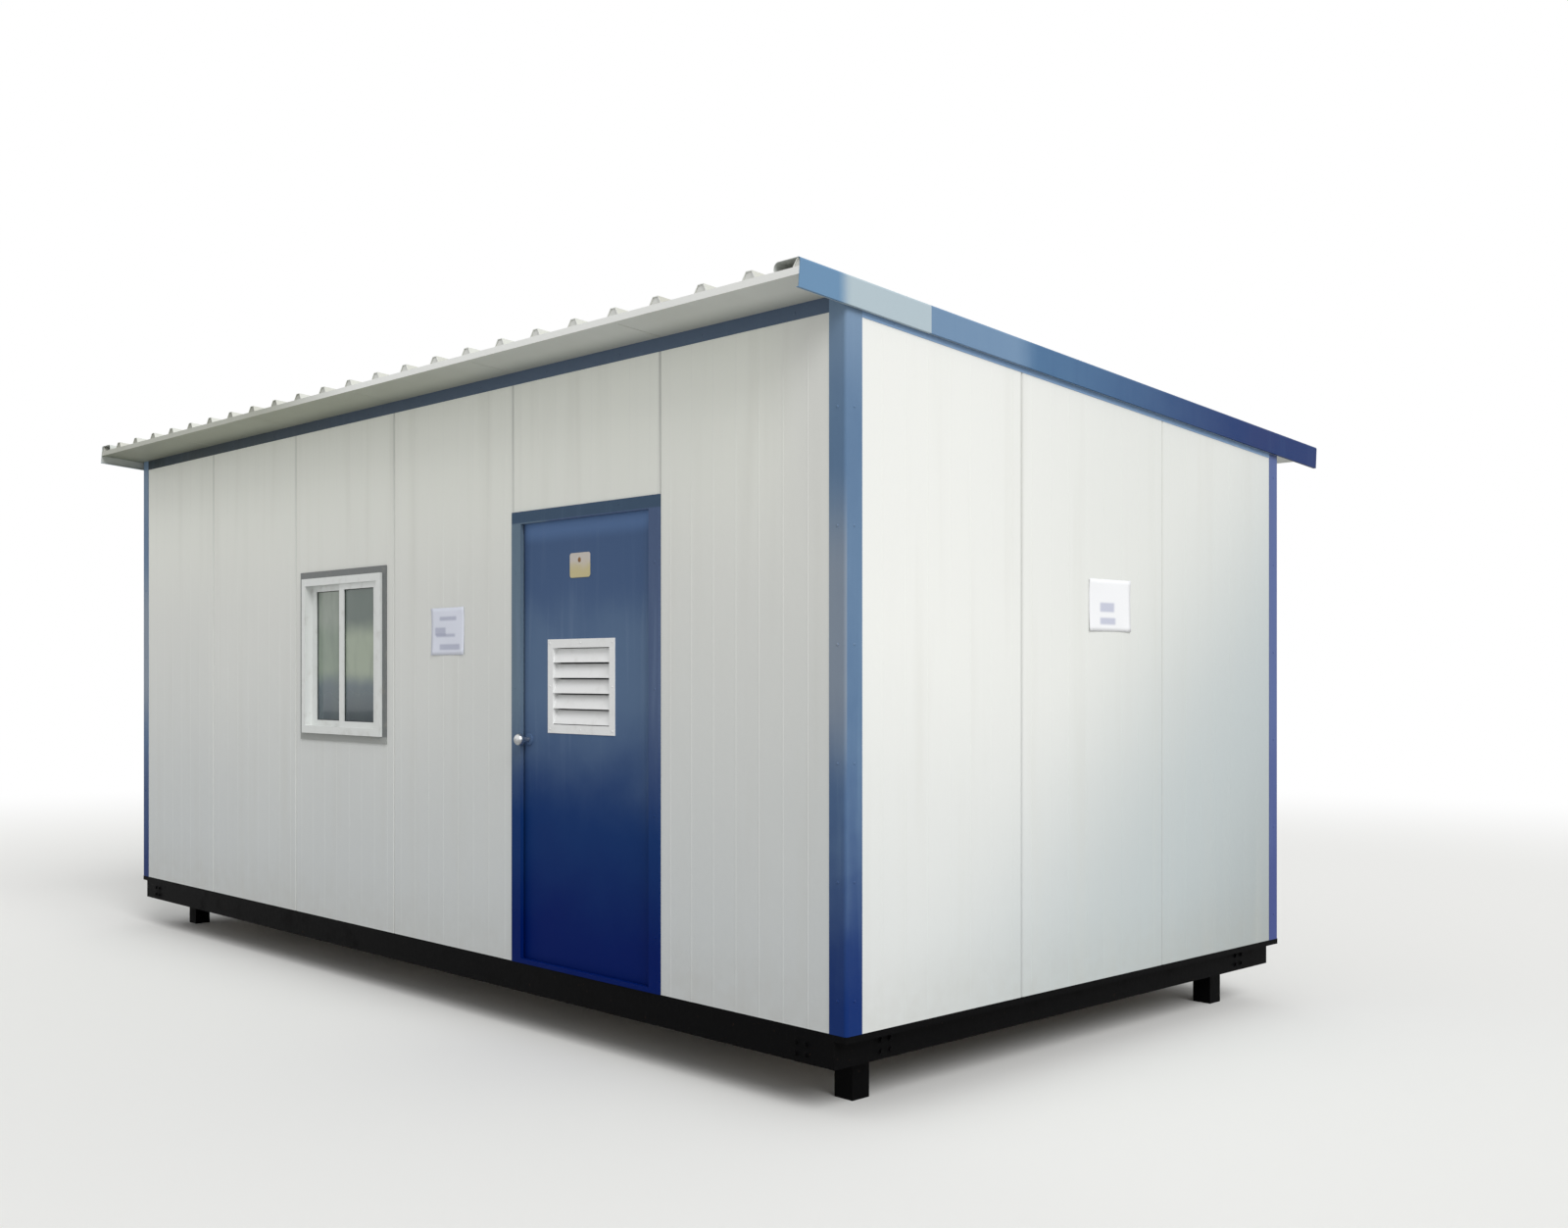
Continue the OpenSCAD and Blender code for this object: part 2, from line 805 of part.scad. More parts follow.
// Draws about the spindle, with Z running out of one face of the leaf
module outside_knob() {
    in_doorway() translate([knob_x, leaf_recess, knob_z]) rotate([90, 0, 0]) children();
}

module inside_knob() {
    in_doorway() translate([knob_x, leaf_back, knob_z]) rotate([-90, 0, 0]) children();
}

module rose() {
    rotate_extrude()
        difference() {
            union() {
                square([rose_r, rose_t / 2]);
                square([rose_r - rose_t / 2, rose_t]);
                translate([rose_r - rose_t / 2, rose_t / 2]) circle(rose_t / 2);
            }
            translate([0, -rose_t]) square([spindle_r + spindle_gap, 3 * rose_t]);
        }
}

module knob_roses() {
    color(blue) {
        outside_knob() rose();
        inside_knob() rose();
    }
}

// One grip: a neck that clears the rose and a rounded body with a flat end
module grip() {
    neck_z = rose_t + knob_gap;
    round_r = knob_body / 2;
    rotate_extrude()
        union() {
            translate([0, neck_z]) square([neck_r, knob_reach - neck_z - round_r]);
            translate([0, knob_reach - knob_body]) square([knob_r - round_r, knob_body]);
            intersection() {
                translate([knob_r - round_r, knob_reach - round_r]) circle(round_r);
                square([knob_r, knob_reach]);
            }
        }
}

module door_knob() {
    key_slot = [2, 10, 3];
    color("silver") {
        difference() {
            outside_knob() grip();
            outside_knob()
                translate([-key_slot[0] / 2, -key_slot[1] / 2, knob_reach - key_slot[2]])
                    cube([key_slot[0], key_slot[1], 2 * key_slot[2]]);
        }
        inside_knob() grip();
        outside_knob()
            translate([0, 0, -leaf_t - rose_t - 2 * knob_gap])
                cylinder(r = spindle_r, h = leaf_t + 2 * rose_t + 4 * knob_gap);
    }
}

// Window

// Draws about the middle of the window's hole, from the wall's outside face
module in_window() {
    translate([window_x, front_y, wall_foot + window_z + window_h / 2]) children();
}

module window_cover() {
    color(grey)
        in_window() ring(window_w + 2 * cover_w, window_h + 2 * cover_w, cover_w, -cover_t, cover_t);
}

module window_frame() {
    color(white)
        in_window() ring(window_w, window_h, window_face, -window_proud, window_depth);
}

// Places a child in the right sash, on the outer track, and in the left one behind it
module in_sashes() {
    in_window() {
        translate([(clear_w - sash_w) / 2, sash_y0, 0]) children();
        translate([(sash_w - clear_w) / 2, sash_y0 + sash_t + sash_gap, 0]) children();
    }
}

module window_sashes() {
    color(white)
        in_sashes()
            translate([-sash_w / 2, 0, -clear_h / 2])
                difference() {
                    cube([sash_w, sash_t, clear_h]);
                    translate([stile_w, -sash_t, sash_rail_w]) cube([pane_w, 3 * sash_t, pane_h]);
                }
}

module window_glass() {
    color("#8fa39b")
        in_sashes()
            translate([-pane_w / 2, (sash_t - glass_t) / 2, -pane_h / 2]) cube([pane_w, glass_t, pane_h]);
}

base_legs();
base_rails_long();
base_rails_end();
floor_joists();
sills_long();
sills_end();
floor_deck();
front_panels();
front_panel_over_door();
front_panel_window();
back_panels();
gable_panels_right();
gable_panels_left();
corner_trims();
top_track_front();
top_track_back();
gable_tracks();
roof_panels();
verge_flashings();
eave_trims();
door_jambs();
door_head();
door_threshold();
hinge_frame_halves();
door_leaf();
door_vent();
hinge_door_halves();
knob_roses();
door_knob();
window_cover();
window_frame();
window_sashes();
window_glass();
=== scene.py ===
# %% [markdown]
# # A portable site cabin
#
# The cabin is a box of white sandwich panels on a black steel base, with blue folded trims,
# a ribbed roof that falls to the back, a blue door and a small sliding window.
# The hard construction comes in as a frame of solids in metres, and this lesson gives
# every surface its finish and adds the small pieces that a maker would screw, rivet or
# tape on. Nothing in the frame is moved or resized.

import math

import bmesh
import bpy
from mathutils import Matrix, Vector


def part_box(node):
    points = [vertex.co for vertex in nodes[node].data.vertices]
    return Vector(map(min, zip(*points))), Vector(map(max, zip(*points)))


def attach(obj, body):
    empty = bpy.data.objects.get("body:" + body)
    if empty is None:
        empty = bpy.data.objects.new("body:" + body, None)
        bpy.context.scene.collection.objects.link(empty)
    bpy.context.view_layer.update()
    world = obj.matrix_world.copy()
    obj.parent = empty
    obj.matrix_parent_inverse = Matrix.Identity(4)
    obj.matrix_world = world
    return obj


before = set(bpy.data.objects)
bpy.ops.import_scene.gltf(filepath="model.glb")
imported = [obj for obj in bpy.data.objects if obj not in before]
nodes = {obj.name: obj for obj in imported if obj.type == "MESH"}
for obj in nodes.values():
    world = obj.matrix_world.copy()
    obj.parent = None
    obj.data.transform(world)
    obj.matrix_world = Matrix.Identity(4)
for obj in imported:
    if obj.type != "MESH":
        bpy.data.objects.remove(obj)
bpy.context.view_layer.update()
scene = bpy.context.scene
scene.view_settings.view_transform = "Standard"

# %% [markdown]
# ## Places to measure from
#
# Every added piece sits on a wall, a trim or the roof, so its place is worked out from the solids' own
# boxes. Two values aren't in a box: the fall of the roof and the thickness of the folded trims. They
# are written here once.

# %% Places on the cabin
MM = 0.001
ROOF_FALL = 80 * MM
TRIM_T = 2 * MM
BAY = 1.0

front_low, front_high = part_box("front_panels")
half_length = front_high.x
front_y = front_low.y
back_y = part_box("back_panels")[1].y
wall_foot = front_low.z
soffit_front = front_high.z + TRIM_T


def soffit_z(y):
    """Height of the roof's underside at a place in Y."""
    return soffit_front - ROOF_FALL * (y - front_y)


print("walls: %.2f x %.2f m, foot at %.3f m" % (2 * half_length, back_y - front_y, wall_foot))

# %% [markdown]
# ## The camera
#
# The photograph was taken level, at about eye height, a few metres off the near corner.
# A level camera keeps upright edges upright, and the frame is slid over the view
# with the lens shift, as an architect's camera does, so no upright edge leans.

# %% Camera
IMAGE_W, IMAGE_H = 1600, 1253
FOCAL_PX = 1605
AXIS_PX = (756, 687.5)
CAMERA_OFFSET = Vector((3.729, -3.985, 1.260))
CAMERA_YAW = math.radians(46.93)
SENSOR_W = 36

camera_data = bpy.data.cameras.new("camera")
camera_data.sensor_width = SENSOR_W
camera_data.lens = SENSOR_W * FOCAL_PX / IMAGE_W
camera_data.shift_x = (IMAGE_W / 2 - AXIS_PX[0]) / IMAGE_W
camera_data.shift_y = (AXIS_PX[1] - IMAGE_H / 2) / IMAGE_W
camera = bpy.data.objects.new("camera", camera_data)
camera.location = Vector((half_length, front_y, wall_foot)) + CAMERA_OFFSET
camera.rotation_euler = (math.radians(90), 0, CAMERA_YAW)
scene.collection.objects.link(camera)
scene.camera = camera
print("camera at", [round(v, 2) for v in camera.location], "lens %.1f mm" % camera_data.lens)

# %% [markdown]
# ## Shader maths as plain expressions
#
# Procedural finishes are small formulas: a fade is a step along a coordinate, dirt is noise
# times height. Wiring Math nodes by hand hides the formula, so one class wraps a socket
# and lets Python's operators add the nodes. Every other node comes from its one
# method, which sets the node's options first and then its sockets.


# %% Colours and wires
def srgb(red, green, blue):
    """A colour as a screen shows it, 0 to 255, made linear for a shader."""
    channels = [v / 255 for v in (red, green, blue)]
    linear = [c / 12.92 if c <= 0.04045 else ((c + 0.055) / 1.055) ** 2.4 for c in channels]
    return (*linear, 1.0)


class Wire:
    """A value in a node tree. Operators add Math nodes, and node() adds any other node."""

    def __init__(self, tree, socket=None):
        self.tree = tree
        self.socket = socket

    def node(self, kind, settings=None, sockets=None, output=0):
        made = self.tree.nodes.new(kind)
        for key, value in (settings or {}).items():
            setattr(made, key, value)
        for key, value in (sockets or {}).items():
            target = self.find(made.inputs, key)
            if isinstance(value, Wire):
                self.tree.links.new(value.socket, target)
            else:
                target.default_value = value
        return Wire(self.tree, self.find(made.outputs, output))

    @staticmethod
    def find(sockets, key):
        if isinstance(key, int):
            return sockets[key]
        return next(s for s in sockets if key in (s.identifier, s.name) and s.enabled)

    def math(self, operation, first, second=0.0):
        return self.node("ShaderNodeMath", {"operation": operation}, {0: first, 1: second})

    def __add__(self, other):
        return self.math("ADD", self, other)

    def __radd__(self, other):
        return self.math("ADD", other, self)

    def __sub__(self, other):
        return self.math("SUBTRACT", self, other)

    def __rsub__(self, other):
        return self.math("SUBTRACT", other, self)

    def __mul__(self, other):
        return self.math("MULTIPLY", self, other)

    def __rmul__(self, other):
        return self.math("MULTIPLY", other, self)

    def step(self, low, high):
        """0 below low, 1 above high, smooth between."""
        return self.node("ShaderNodeMapRange", {"interpolation_type": "SMOOTHSTEP"},
                         {"Value": self, "From Min": low, "From Max": high})

    def mix(self, first, second):
        """One colour or the other, by this value."""
        return self.node("ShaderNodeMix", {"data_type": "RGBA"},
                         {"Factor_Float": self, "A_Color": first, "B_Color": second}, "Result_Color")


print("wires ready")

# %% [markdown]
# ## A finish
#
# On the real cabin a finish is one paint or one sheet. In Blender it is a material with one
# Principled shader. A picture could be wrapped round each piece, but noise on Object
# coordinates needs no unwrapping and runs on from one panel to the next without a seam.
# The class makes the material, and coat() puts it on solids of the frame.


# %% A finish
class Finish(Wire):
    """A material with a Principled shader; place holds Object coordinates."""

    def __init__(self, name, **constants):
        self.material = bpy.data.materials.new(name)
        self.material.use_nodes = True
        super().__init__(self.material.node_tree)
        self.shader = self.tree.nodes["Principled BSDF"]
        for key, value in constants.items():
            self.shader.inputs[key.replace("_", " ")].default_value = value
        self.place = self.node("ShaderNodeTexCoord", output="Object")
        self.axes = self.node("ShaderNodeSeparateXYZ", sockets={0: self.place}).socket.node.outputs

    def axis(self, name):
        return Wire(self.tree, self.axes[name])

    def noise(self, scale, detail=3.0, stretch=(1, 1, 1)):
        """Soft random patches, about 1 / scale metres across."""
        spread = self.node("ShaderNodeMapping", sockets={"Vector": self.place, "Scale": stretch})
        return self.node("ShaderNodeTexNoise",
                         sockets={"Vector": spread, "Scale": scale, "Detail": detail})

    def turned(self, axis):
        """How far a face looks along an axis, from -1 to 1."""
        normal = self.node("ShaderNodeNewGeometry", output="Normal")
        return self.node("ShaderNodeSeparateXYZ", sockets={0: normal}, output=axis)

    def feed(self, socket, value):
        self.tree.links.new(value.socket, self.shader.inputs[socket])

    def bump(self, height, depth):
        """Raises the surface by height times depth, in metres."""
        self.feed("Normal", self.node("ShaderNodeBump", sockets={"Height": height, "Distance": depth}))


def coat(finish, *names):
    """Gives CAD nodes a finish."""
    for name in names:
        nodes[name].data.materials.clear()
        nodes[name].data.materials.append(finish.material)


print("finishes ready")

# %% [markdown]
# ## Light
#
# The photograph's light comes from the right: the end wall is bright and the front is in
# open shade. A broad sun lamp and an even white sky give the same balance at a plain
# level, where a written colour renders about as it is written. Area lamps could do it too,
# but a sun lights every side of a building evenly, however large it is.

# %% Sky and sun
SKY_LEVEL = 0.61
SUN_LEVEL = 1.76
SUN_TOWARDS = Vector((0.76, -0.20, 0.62))
SUN_ANGLE = math.radians(35)

world = bpy.data.worlds.new("sky")
scene.world = world
world.use_nodes = True
sky = Wire(world.node_tree)
path = sky.node("ShaderNodeLightPath").socket.node.outputs
seen = Wire(sky.tree, path["Is Camera Ray"])
seen = seen.math("MAXIMUM", seen, Wire(sky.tree, path["Is Glossy Ray"]))
seen = seen.math("MAXIMUM", seen, Wire(sky.tree, path["Is Transmission Ray"]))
background = sky.tree.nodes["Background"]
background.inputs["Color"].default_value = (1, 1, 1, 1)
sky.tree.links.new((seen * (1 - SKY_LEVEL) + SKY_LEVEL).socket, background.inputs["Strength"])

sun_data = bpy.data.lights.new("sun", "SUN")
sun_data.energy = SUN_LEVEL
sun_data.angle = SUN_ANGLE
sun = bpy.data.objects.new("sun", sun_data)
sun.rotation_euler = SUN_TOWARDS.to_track_quat("Z", "Y").to_euler()
scene.collection.objects.link(sun)
print("sky %.2f, sun %.2f" % (SKY_LEVEL, SUN_LEVEL))

# %% [markdown]
# ## Floor
#
# The cabin stands on plain level ground. A square plane would do, but a wide disc has no
# corner that could show. The floor looks pale to the camera, but it throws back less light
# than it shows, as trodden ground does, so the walls darken towards their foot. It fades to
# white with distance, and no horizon shows.

# %% Floor
FLOOR_R = 60
FLOOR_FADE = (7.0, 15.0)

floor_mesh = bpy.data.meshes.new("floor")
floor_bm = bmesh.new()
bmesh.ops.create_circle(floor_bm, cap_ends=True, segments=96, radius=FLOOR_R)
floor_bm.to_mesh(floor_mesh)
floor_bm.free()
floor = bpy.data.objects.new("floor", floor_mesh)
scene.collection.objects.link(floor)
floor_finish = Finish("pale_floor", Roughness=1.0, Specular_IOR_Level=0.0)
floor_paths = floor_finish.node("ShaderNodeLightPath").socket.node.outputs
floor_seen = Wire(floor_finish.tree, floor_paths["Is Camera Ray"])
floor_finish.feed("Base Color", floor_seen.mix(srgb(190, 190, 188), srgb(240, 240, 238)))
reach = floor_finish.node("ShaderNodeVectorMath", {"operation": "LENGTH"},
                          {0: floor_finish.place}, "Value").step(*FLOOR_FADE)
white = floor_finish.node("ShaderNodeEmission", sockets={"Color": (1, 1, 1, 1), "Strength": 1.0})
far_floor = floor_finish.node("ShaderNodeMixShader", sockets={
    0: reach * floor_seen, 1: Wire(floor_finish.tree, floor_finish.shader.outputs[0]), 2: white})
floor_finish.tree.links.new(far_floor.socket, floor_finish.tree.nodes["Material Output"].inputs[0])
floor_mesh.materials.append(floor_finish.material)
print("floor fades to white from %.0f m to %.0f m" % FLOOR_FADE)

# %% [markdown]
# ## Wall sheet
#
# The panels' skins are thin coated steel, off-white and satin. Up close such a skin is never even: it
# has slow patches of tone, dust washed down in streaks, and grime just over the base where rain
# splashes. The walls are also darker towards their foot, and painted shade lines the joints. The long
# walls carry a painted light under the eave, against the eave's shade, and the end walls carry painted
# shade that deepens towards the back and most at the low back corner. All of it is noise and steps on
# Object coordinates, stretched along Z for the streaks, and mixed in lightly so the wall still reads
# as white. A joint is found by the distance to the nearest bay line.


# %% Wall sheet
def wall_sheet():
    sheet = Finish("wall_sheet", Specular_IOR_Level=0.25)
    rise = sheet.axis("Z") - wall_foot
    depth = sheet.axis("Y") - front_y
    end = sheet.math("ABSOLUTE", sheet.turned("X"))
    patches = sheet.noise(1.1, 2.0)
    streaks = sheet.noise(9.0, 4.0, (1, 1, 0.06)).step(0.48, 0.78)
    splash = (1 - rise.step(-0.02, 0.35)) * sheet.noise(14.0, 5.0)
    plain = patches.mix(srgb(235, 236, 231), srgb(242, 243, 238))
    # Painted light: the long walls are painted lighter near their top, against the eave's shade, but
    # not near the sunlit right corner.
    covered = 1 - sheet.axis("X").step(half_length - 0.45, half_length - 0.15)
    painted_light_under_eave = (rise.step(1.5, 2.35) * covered).mix(plain, srgb(252, 254, 246))
    long_wall = (rise + 0.3 * patches).step(0.1, 2.2).mix(srgb(214, 218, 219), painted_light_under_eave)
    # Painted shade: the end walls are painted darker towards the back.
    painted_shade_to_back = depth.step(0.3, 2.3).mix(srgb(243, 244, 240), srgb(229, 231, 227))
    end_wall = (rise + 0.3 * patches).step(0.1, 1.7).mix(srgb(222, 225, 224), painted_shade_to_back)
    # Painted shade: darker still towards the low back corner of the end walls.
    low_back = depth - 1.1 * rise
    end_wall = low_back.step(-0.2, 1.7).mix(end_wall, srgb(194, 202, 203))
    end_wall = low_back.step(1.4, 3.0).mix(end_wall, srgb(171, 179, 180))
    from_joint = (sheet.math("PINGPONG", sheet.axis("X") + half_length, BAY / 2) * (1 - end)
                  + sheet.math("PINGPONG", depth, BAY / 2) * end)
    # Painted shade along the panel joints, stronger higher up and fading towards the back.
    joint_shade = (1 - from_joint.step(3 * MM, 18 * MM)) * (0.12 + 0.14 * rise.step(0.6, 1.8))
    joint_shade = joint_shade * (1 - 0.7 * depth.step(1.2, 1.8))
    tone_with_painted_light_and_shade = joint_shade.mix(end.mix(long_wall, end_wall), srgb(190, 192, 188))
    dust_over_painted_shade = (streaks * 0.15).mix(tone_with_painted_light_and_shade, srgb(208, 207, 198))
    sheet.feed("Base Color", (splash * 0.30).mix(dust_over_painted_shade, srgb(176, 170, 157)))
    sheet.feed("Roughness", 0.40 + 0.14 * streaks + 0.10 * patches)
    sheet.bump(sheet.noise(4.0, 2.0) + 0.12 * sheet.noise(160.0, 2.0), 0.0012)
    return sheet


wall_finish = wall_sheet()
coat(wall_finish, "front_panels", "front_panel_over_door", "front_panel_window", "back_panels",
     "gable_panels_right", "gable_panels_left")
print("walls coated")

# %% [markdown]
# ## Blue trims
#
# Corner trims, tracks and flashings are folded from the same blue coated steel, and sun and
# rain chalk the coat in patches and streaks. Four materials could be written out one by one,
# but one function makes the coat, and each trim hands it a function of its own that says how
# the blue has aged there. So all the trims share one surface.


# %% Blue coated steel
def blue_coat(name, tone_of, roughness=0.36):
    """A chalky blue coat; tone_of gives its colour from the finish and a mask of chalk."""
    blue = Finish(name, Specular_IOR_Level=0.15)
    patches = blue.noise(2.3, 4.0).step(0.35, 0.75)
    streaks = blue.noise(22.0, 4.0, (1, 1, 0.05)).step(0.45, 0.8)
    blue.feed("Base Color", tone_of(blue, patches * 0.6 + streaks * 0.4))
    blue.feed("Roughness", roughness + 0.18 * patches)
    blue.bump(blue.noise(6.0, 2.0) + 0.15 * blue.noise(220.0, 2.0), 0.0008)
    return blue


print("blue coat ready")

# %% [markdown]
# ## Corner trims
#
# A corner trim is palest at the top, keeps its colour near the ground, and is greyer at shoulder
# height on its front face. The two at the back have kept more of their blue. Each of these is a step
# along one coordinate that mixes in one more colour, so none has to be painted by hand.


# %% Corner trims
def corner_tone(blue, chalk):
    rise = blue.axis("Z") - wall_foot
    height = (rise + 0.35 * chalk).step(0.15, 1.35)
    top = blue.axis("Z").step(soffit_front - 0.5, soffit_front + 0.1)
    shoulder_band = rise.step(0.8, 1.2) - rise.step(1.6, 2.0)
    grey = shoulder_band * (1 - blue.turned("Y").step(-0.7, -0.4))
    faded = (grey * 0.6).mix(chalk.mix(srgb(92, 121, 155), srgb(112, 140, 170)), srgb(158, 164, 172))
    near = (top * 0.7).mix(height.mix(srgb(10, 45, 108), faded), srgb(140, 164, 190))
    back = blue.axis("Y").step(back_y - 0.3, back_y - 0.2)
    return (back * 0.7).mix(near, srgb(84, 94, 152))


corner_finish = blue_coat("corner_blue", corner_tone)
coat(corner_finish, "corner_trims")
print("corner trims coated")

# %% [markdown]
# ## Top tracks
#
# The front track is painted a dark slate blue, a painted shade of the roof over it, darker still
# towards the far end. The tracks of the end walls are painted pale, a painted light against the shade
# under the flashings, so they look as bright as the flashings over them. Their places differ, so each
# has a tone of its own.


# %% Top tracks
def track_tone(blue, chalk):
    # Painted shade: the front track is painted dark slate for the roof's shade, darkest towards the
    # far end.
    less_painted_shade = blue.axis("X").step(-2.6, 1.6)
    return (chalk * 0.3).mix(less_painted_shade.mix(srgb(58, 68, 72), srgb(90, 107, 130)), srgb(104, 120, 142))


def gable_track_tone(blue, chalk):
    # Painted light: a pale blue that lifts the shade under the verge flashings.
    return chalk.mix(srgb(136, 168, 206), srgb(152, 180, 212))


track_finish = blue_coat("track_blue", track_tone)
coat(track_finish, "top_track_front", "top_track_back")
gable_finish = blue_coat("gable_track_blue", gable_track_tone)
coat(gable_finish, "gable_tracks")
print("tracks coated")

# %% [markdown]
# ## Verge flashings
#
# A flashing is two lengths that lap: the near one has faded almost to grey, and behind the lap the
# blue is deep. The upper sheet is so thin that its edge could hardly be seen as a step, so the change
# of colour shows the lap. Only the outside is coated; the faces that look inwards are a grey back,
# painted pale as a painted light against the shade inside the fold.

# %% Verge flashings
LAP_Y = 0.43
VERGE_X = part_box("verge_flashings")[1].x


def verge_tone(blue, chalk):
    place = blue.axis("Y")
    lapped = place.step(front_y + LAP_Y - 0.002, front_y + LAP_Y + 0.002)
    greyed = (place + 0.03 * chalk).step(front_y - 0.06, front_y + 0.02)
    near = greyed.mix(srgb(110, 146, 180), srgb(182, 198, 206))
    far = (place + 0.4 * chalk).step(front_y + 0.8, back_y).mix(srgb(82, 119, 156), srgb(0, 38, 100))
    far = (place + 0.06 * chalk).step(front_y + 0.93, front_y + 1.10).mix(srgb(118, 147, 178), far)
    outside = lapped.mix(near, (chalk * 0.15).mix(far, srgb(92, 128, 166)))
    out = blue.math("ABSOLUTE", blue.axis("X")).step(VERGE_X - 0.012, VERGE_X - 0.011)
    coated = out * (blue.turned("X") * blue.axis("X")).step(-0.5, -0.3)
    # Painted light: the inward faces are a pale grey, lighter than a back coat, against the shade
    # inside the fold.
    return coated.mix(srgb(206, 210, 206), outside)


coat(blue_coat("verge_blue", verge_tone), "verge_flashings")
print("flashings coated, lapped %.2f m behind the front wall" % LAP_Y)

# %% [markdown]
# ## Door paint
#
# The door is painted a deeper blue than the trims. Its foot keeps the full colour, the middle has
# faded most and the top is a slate blue, with a painted light in a narrow strip under the head,
# against the head's shade. The mix follows the height and is broken up by patches, so that it doesn't
# look like a printed gradient. The frame is painted the same way, but its left jamb has chalked to
# grey, and its right jamb and its head carry painted shade, darker than the leaf.


# %% Door paint
leaf_low, leaf_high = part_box("door_leaf")
leaf_foot, leaf_top = leaf_low.z, leaf_high.z
jamb_low, jamb_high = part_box("door_jambs")
door_left, door_right = jamb_low.x, jamb_high.x
door_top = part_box("door_head")[1].z


def leaf_tone(paint, height):
    faded = height.step(leaf_foot + 1.35, leaf_foot + 1.65).mix(srgb(96, 120, 152), srgb(78, 102, 140))
    # Painted light: a paler strip under the head, against the head's shade.
    painted_light_under_head = paint.axis("Z").step(leaf_top - 0.11, leaf_top - 0.01)
    return painted_light_under_head.mix(faded, srgb(104, 135, 182))


def frame_tone(paint, height):
    # Painted shade: the right jamb and the head are painted darker than the leaf.
    right = paint.axis("X").step(door_left + 0.2, door_left + 0.3)
    head = paint.axis("Z").step(door_top - 0.055, door_top - 0.045)
    return head.mix(right.mix(srgb(110, 130, 148), srgb(86, 104, 138)), srgb(72, 93, 117))


def door_paint(name, faded_tone):
    paint = Finish(name, Specular_IOR_Level=0.05)
    patches = paint.noise(3.0, 4.0)
    height = paint.axis("Z") + 0.30 * (patches - 0.5)
    streaks = paint.noise(26.0, 4.0, (1, 1, 0.05)).step(0.5, 0.85)
    deep = height.step(leaf_foot + 0.1, leaf_foot + 0.7).mix(srgb(0, 27, 97), srgb(22, 56, 112))
    upper = height.step(leaf_foot + 0.58, leaf_foot + 1.20)
    middle = upper * (1 - height.step(leaf_foot + 1.40, leaf_foot + 1.75))
    tone = upper.mix(deep, faded_tone(paint, height))
    paint.feed("Base Color", (streaks * (0.10 * upper + 0.22 * middle)).mix(tone, srgb(128, 148, 178)))
    paint.feed("Roughness", 0.40 + 0.16 * patches)
    paint.bump(paint.noise(5.0, 2.0) + 0.2 * paint.noise(260.0, 2.0), 0.0008)
    return paint


coat(door_paint("leaf_paint", leaf_tone), "door_leaf", "knob_roses")
frame_finish = door_paint("frame_paint", frame_tone)
coat(frame_finish, "door_jambs", "door_head", "door_threshold")
print("door painted")

# %% [markdown]
# ## Roof sheet
#
# The roof sheet is pale and weathered, with dust lying in its flats. Its underside is a pale back coat
# under painted shade: grey-green, darkest towards the far end and close to the wall. Its cut ends at
# the eaves are painted pale, a painted light, with painted shade towards the far end. The faces could
# be picked by hand for three materials, but the way each face looks tells them apart, so one material
# serves the whole sheet.


# %% Roof sheet
def roof_sheet():
    sheet = Finish("roof_sheet", Specular_IOR_Level=0.4)
    dust = sheet.noise(2.0, 5.0, (1, 0.25, 1)).step(0.4, 0.75)
    spots = sheet.noise(30.0, 4.0).step(0.62, 0.8)
    tone = (dust * 0.6).mix(srgb(214, 216, 209), srgb(186, 184, 172))
    weathered = (spots * 0.35).mix(tone, srgb(150, 146, 132))
    above = sheet.turned("Z").step(-0.6, -0.4)
    ends = sheet.math("ABSOLUTE", sheet.turned("Y")).step(0.4, 0.6)
    along = sheet.axis("X")
    # Painted shade: the underside is painted grey-green, darker towards the far end.
    below = along.step(-3.2, -0.8).mix(srgb(146, 150, 133), srgb(176, 180, 163))
    below = along.step(-0.6, 2.2).mix(below, srgb(226, 228, 223))
    # Painted shade close to the front wall, where the underside meets it.
    painted_shade_near_wall = 1 - sheet.math("ABSOLUTE", sheet.axis("Y") - front_y).step(0.0, 0.14)
    below = (painted_shade_near_wall * 0.45).mix(below, srgb(130, 134, 124))
    tone = above.mix((dust * 0.2).mix(below, srgb(190, 192, 180)), weathered)
    # Painted light: the cut ends are painted pale, with painted shade towards the far end.
    painted_light_on_ends = along.step(-0.9, 0.2).mix(srgb(185, 187, 176), srgb(251, 252, 249))
    sheet.feed("Base Color", ends.mix(tone, painted_light_on_ends))
    sheet.feed("Roughness", 0.42 + 0.25 * dust)
    sheet.bump(sheet.noise(5.0, 2.0) + 0.2 * sheet.noise(150.0, 2.0), 0.001)
    return sheet


roof_finish = roof_sheet()
coat(roof_finish, "roof_panels", "eave_trims")
print("roof coated")

# %% [markdown]
# ## Base paint and floor board
#
# The base is matt black paint over rough rolled steel, a little dusty, and chipped to brown in
# small spots: a sharp step of fine noise leaves only its highest peaks. The floor inside is
# sealed board, and noise stretched along X gives it a long grain.


# %% Base paint and floor board
def base_paint():
    paint = Finish("base_paint", Specular_IOR_Level=0.06)
    dust = paint.noise(7.0, 5.0).step(0.5, 0.85)
    chips = paint.noise(60.0, 3.0).step(0.70, 0.76)
    black = (dust * 0.25).mix(srgb(4, 4, 5), srgb(28, 27, 25))
    paint.feed("Base Color", (chips * 0.4).mix(black, srgb(60, 42, 32)))
    paint.feed("Roughness", 0.55 + 0.25 * dust)
    paint.bump(paint.noise(40.0, 4.0) + 0.4 * paint.noise(300.0, 2.0), 0.0009)
    return paint


def floor_board():
    board = Finish("floor_board", Specular_IOR_Level=0.4)
    grain = board.noise(6.0, 6.0, (0.15, 3, 3))
    board.feed("Base Color", grain.step(0.3, 0.7).mix(srgb(138, 124, 104), srgb(170, 154, 130)))
    board.feed("Roughness", 0.40 + 0.2 * grain)
    board.bump(grain, 0.0006)
    return board


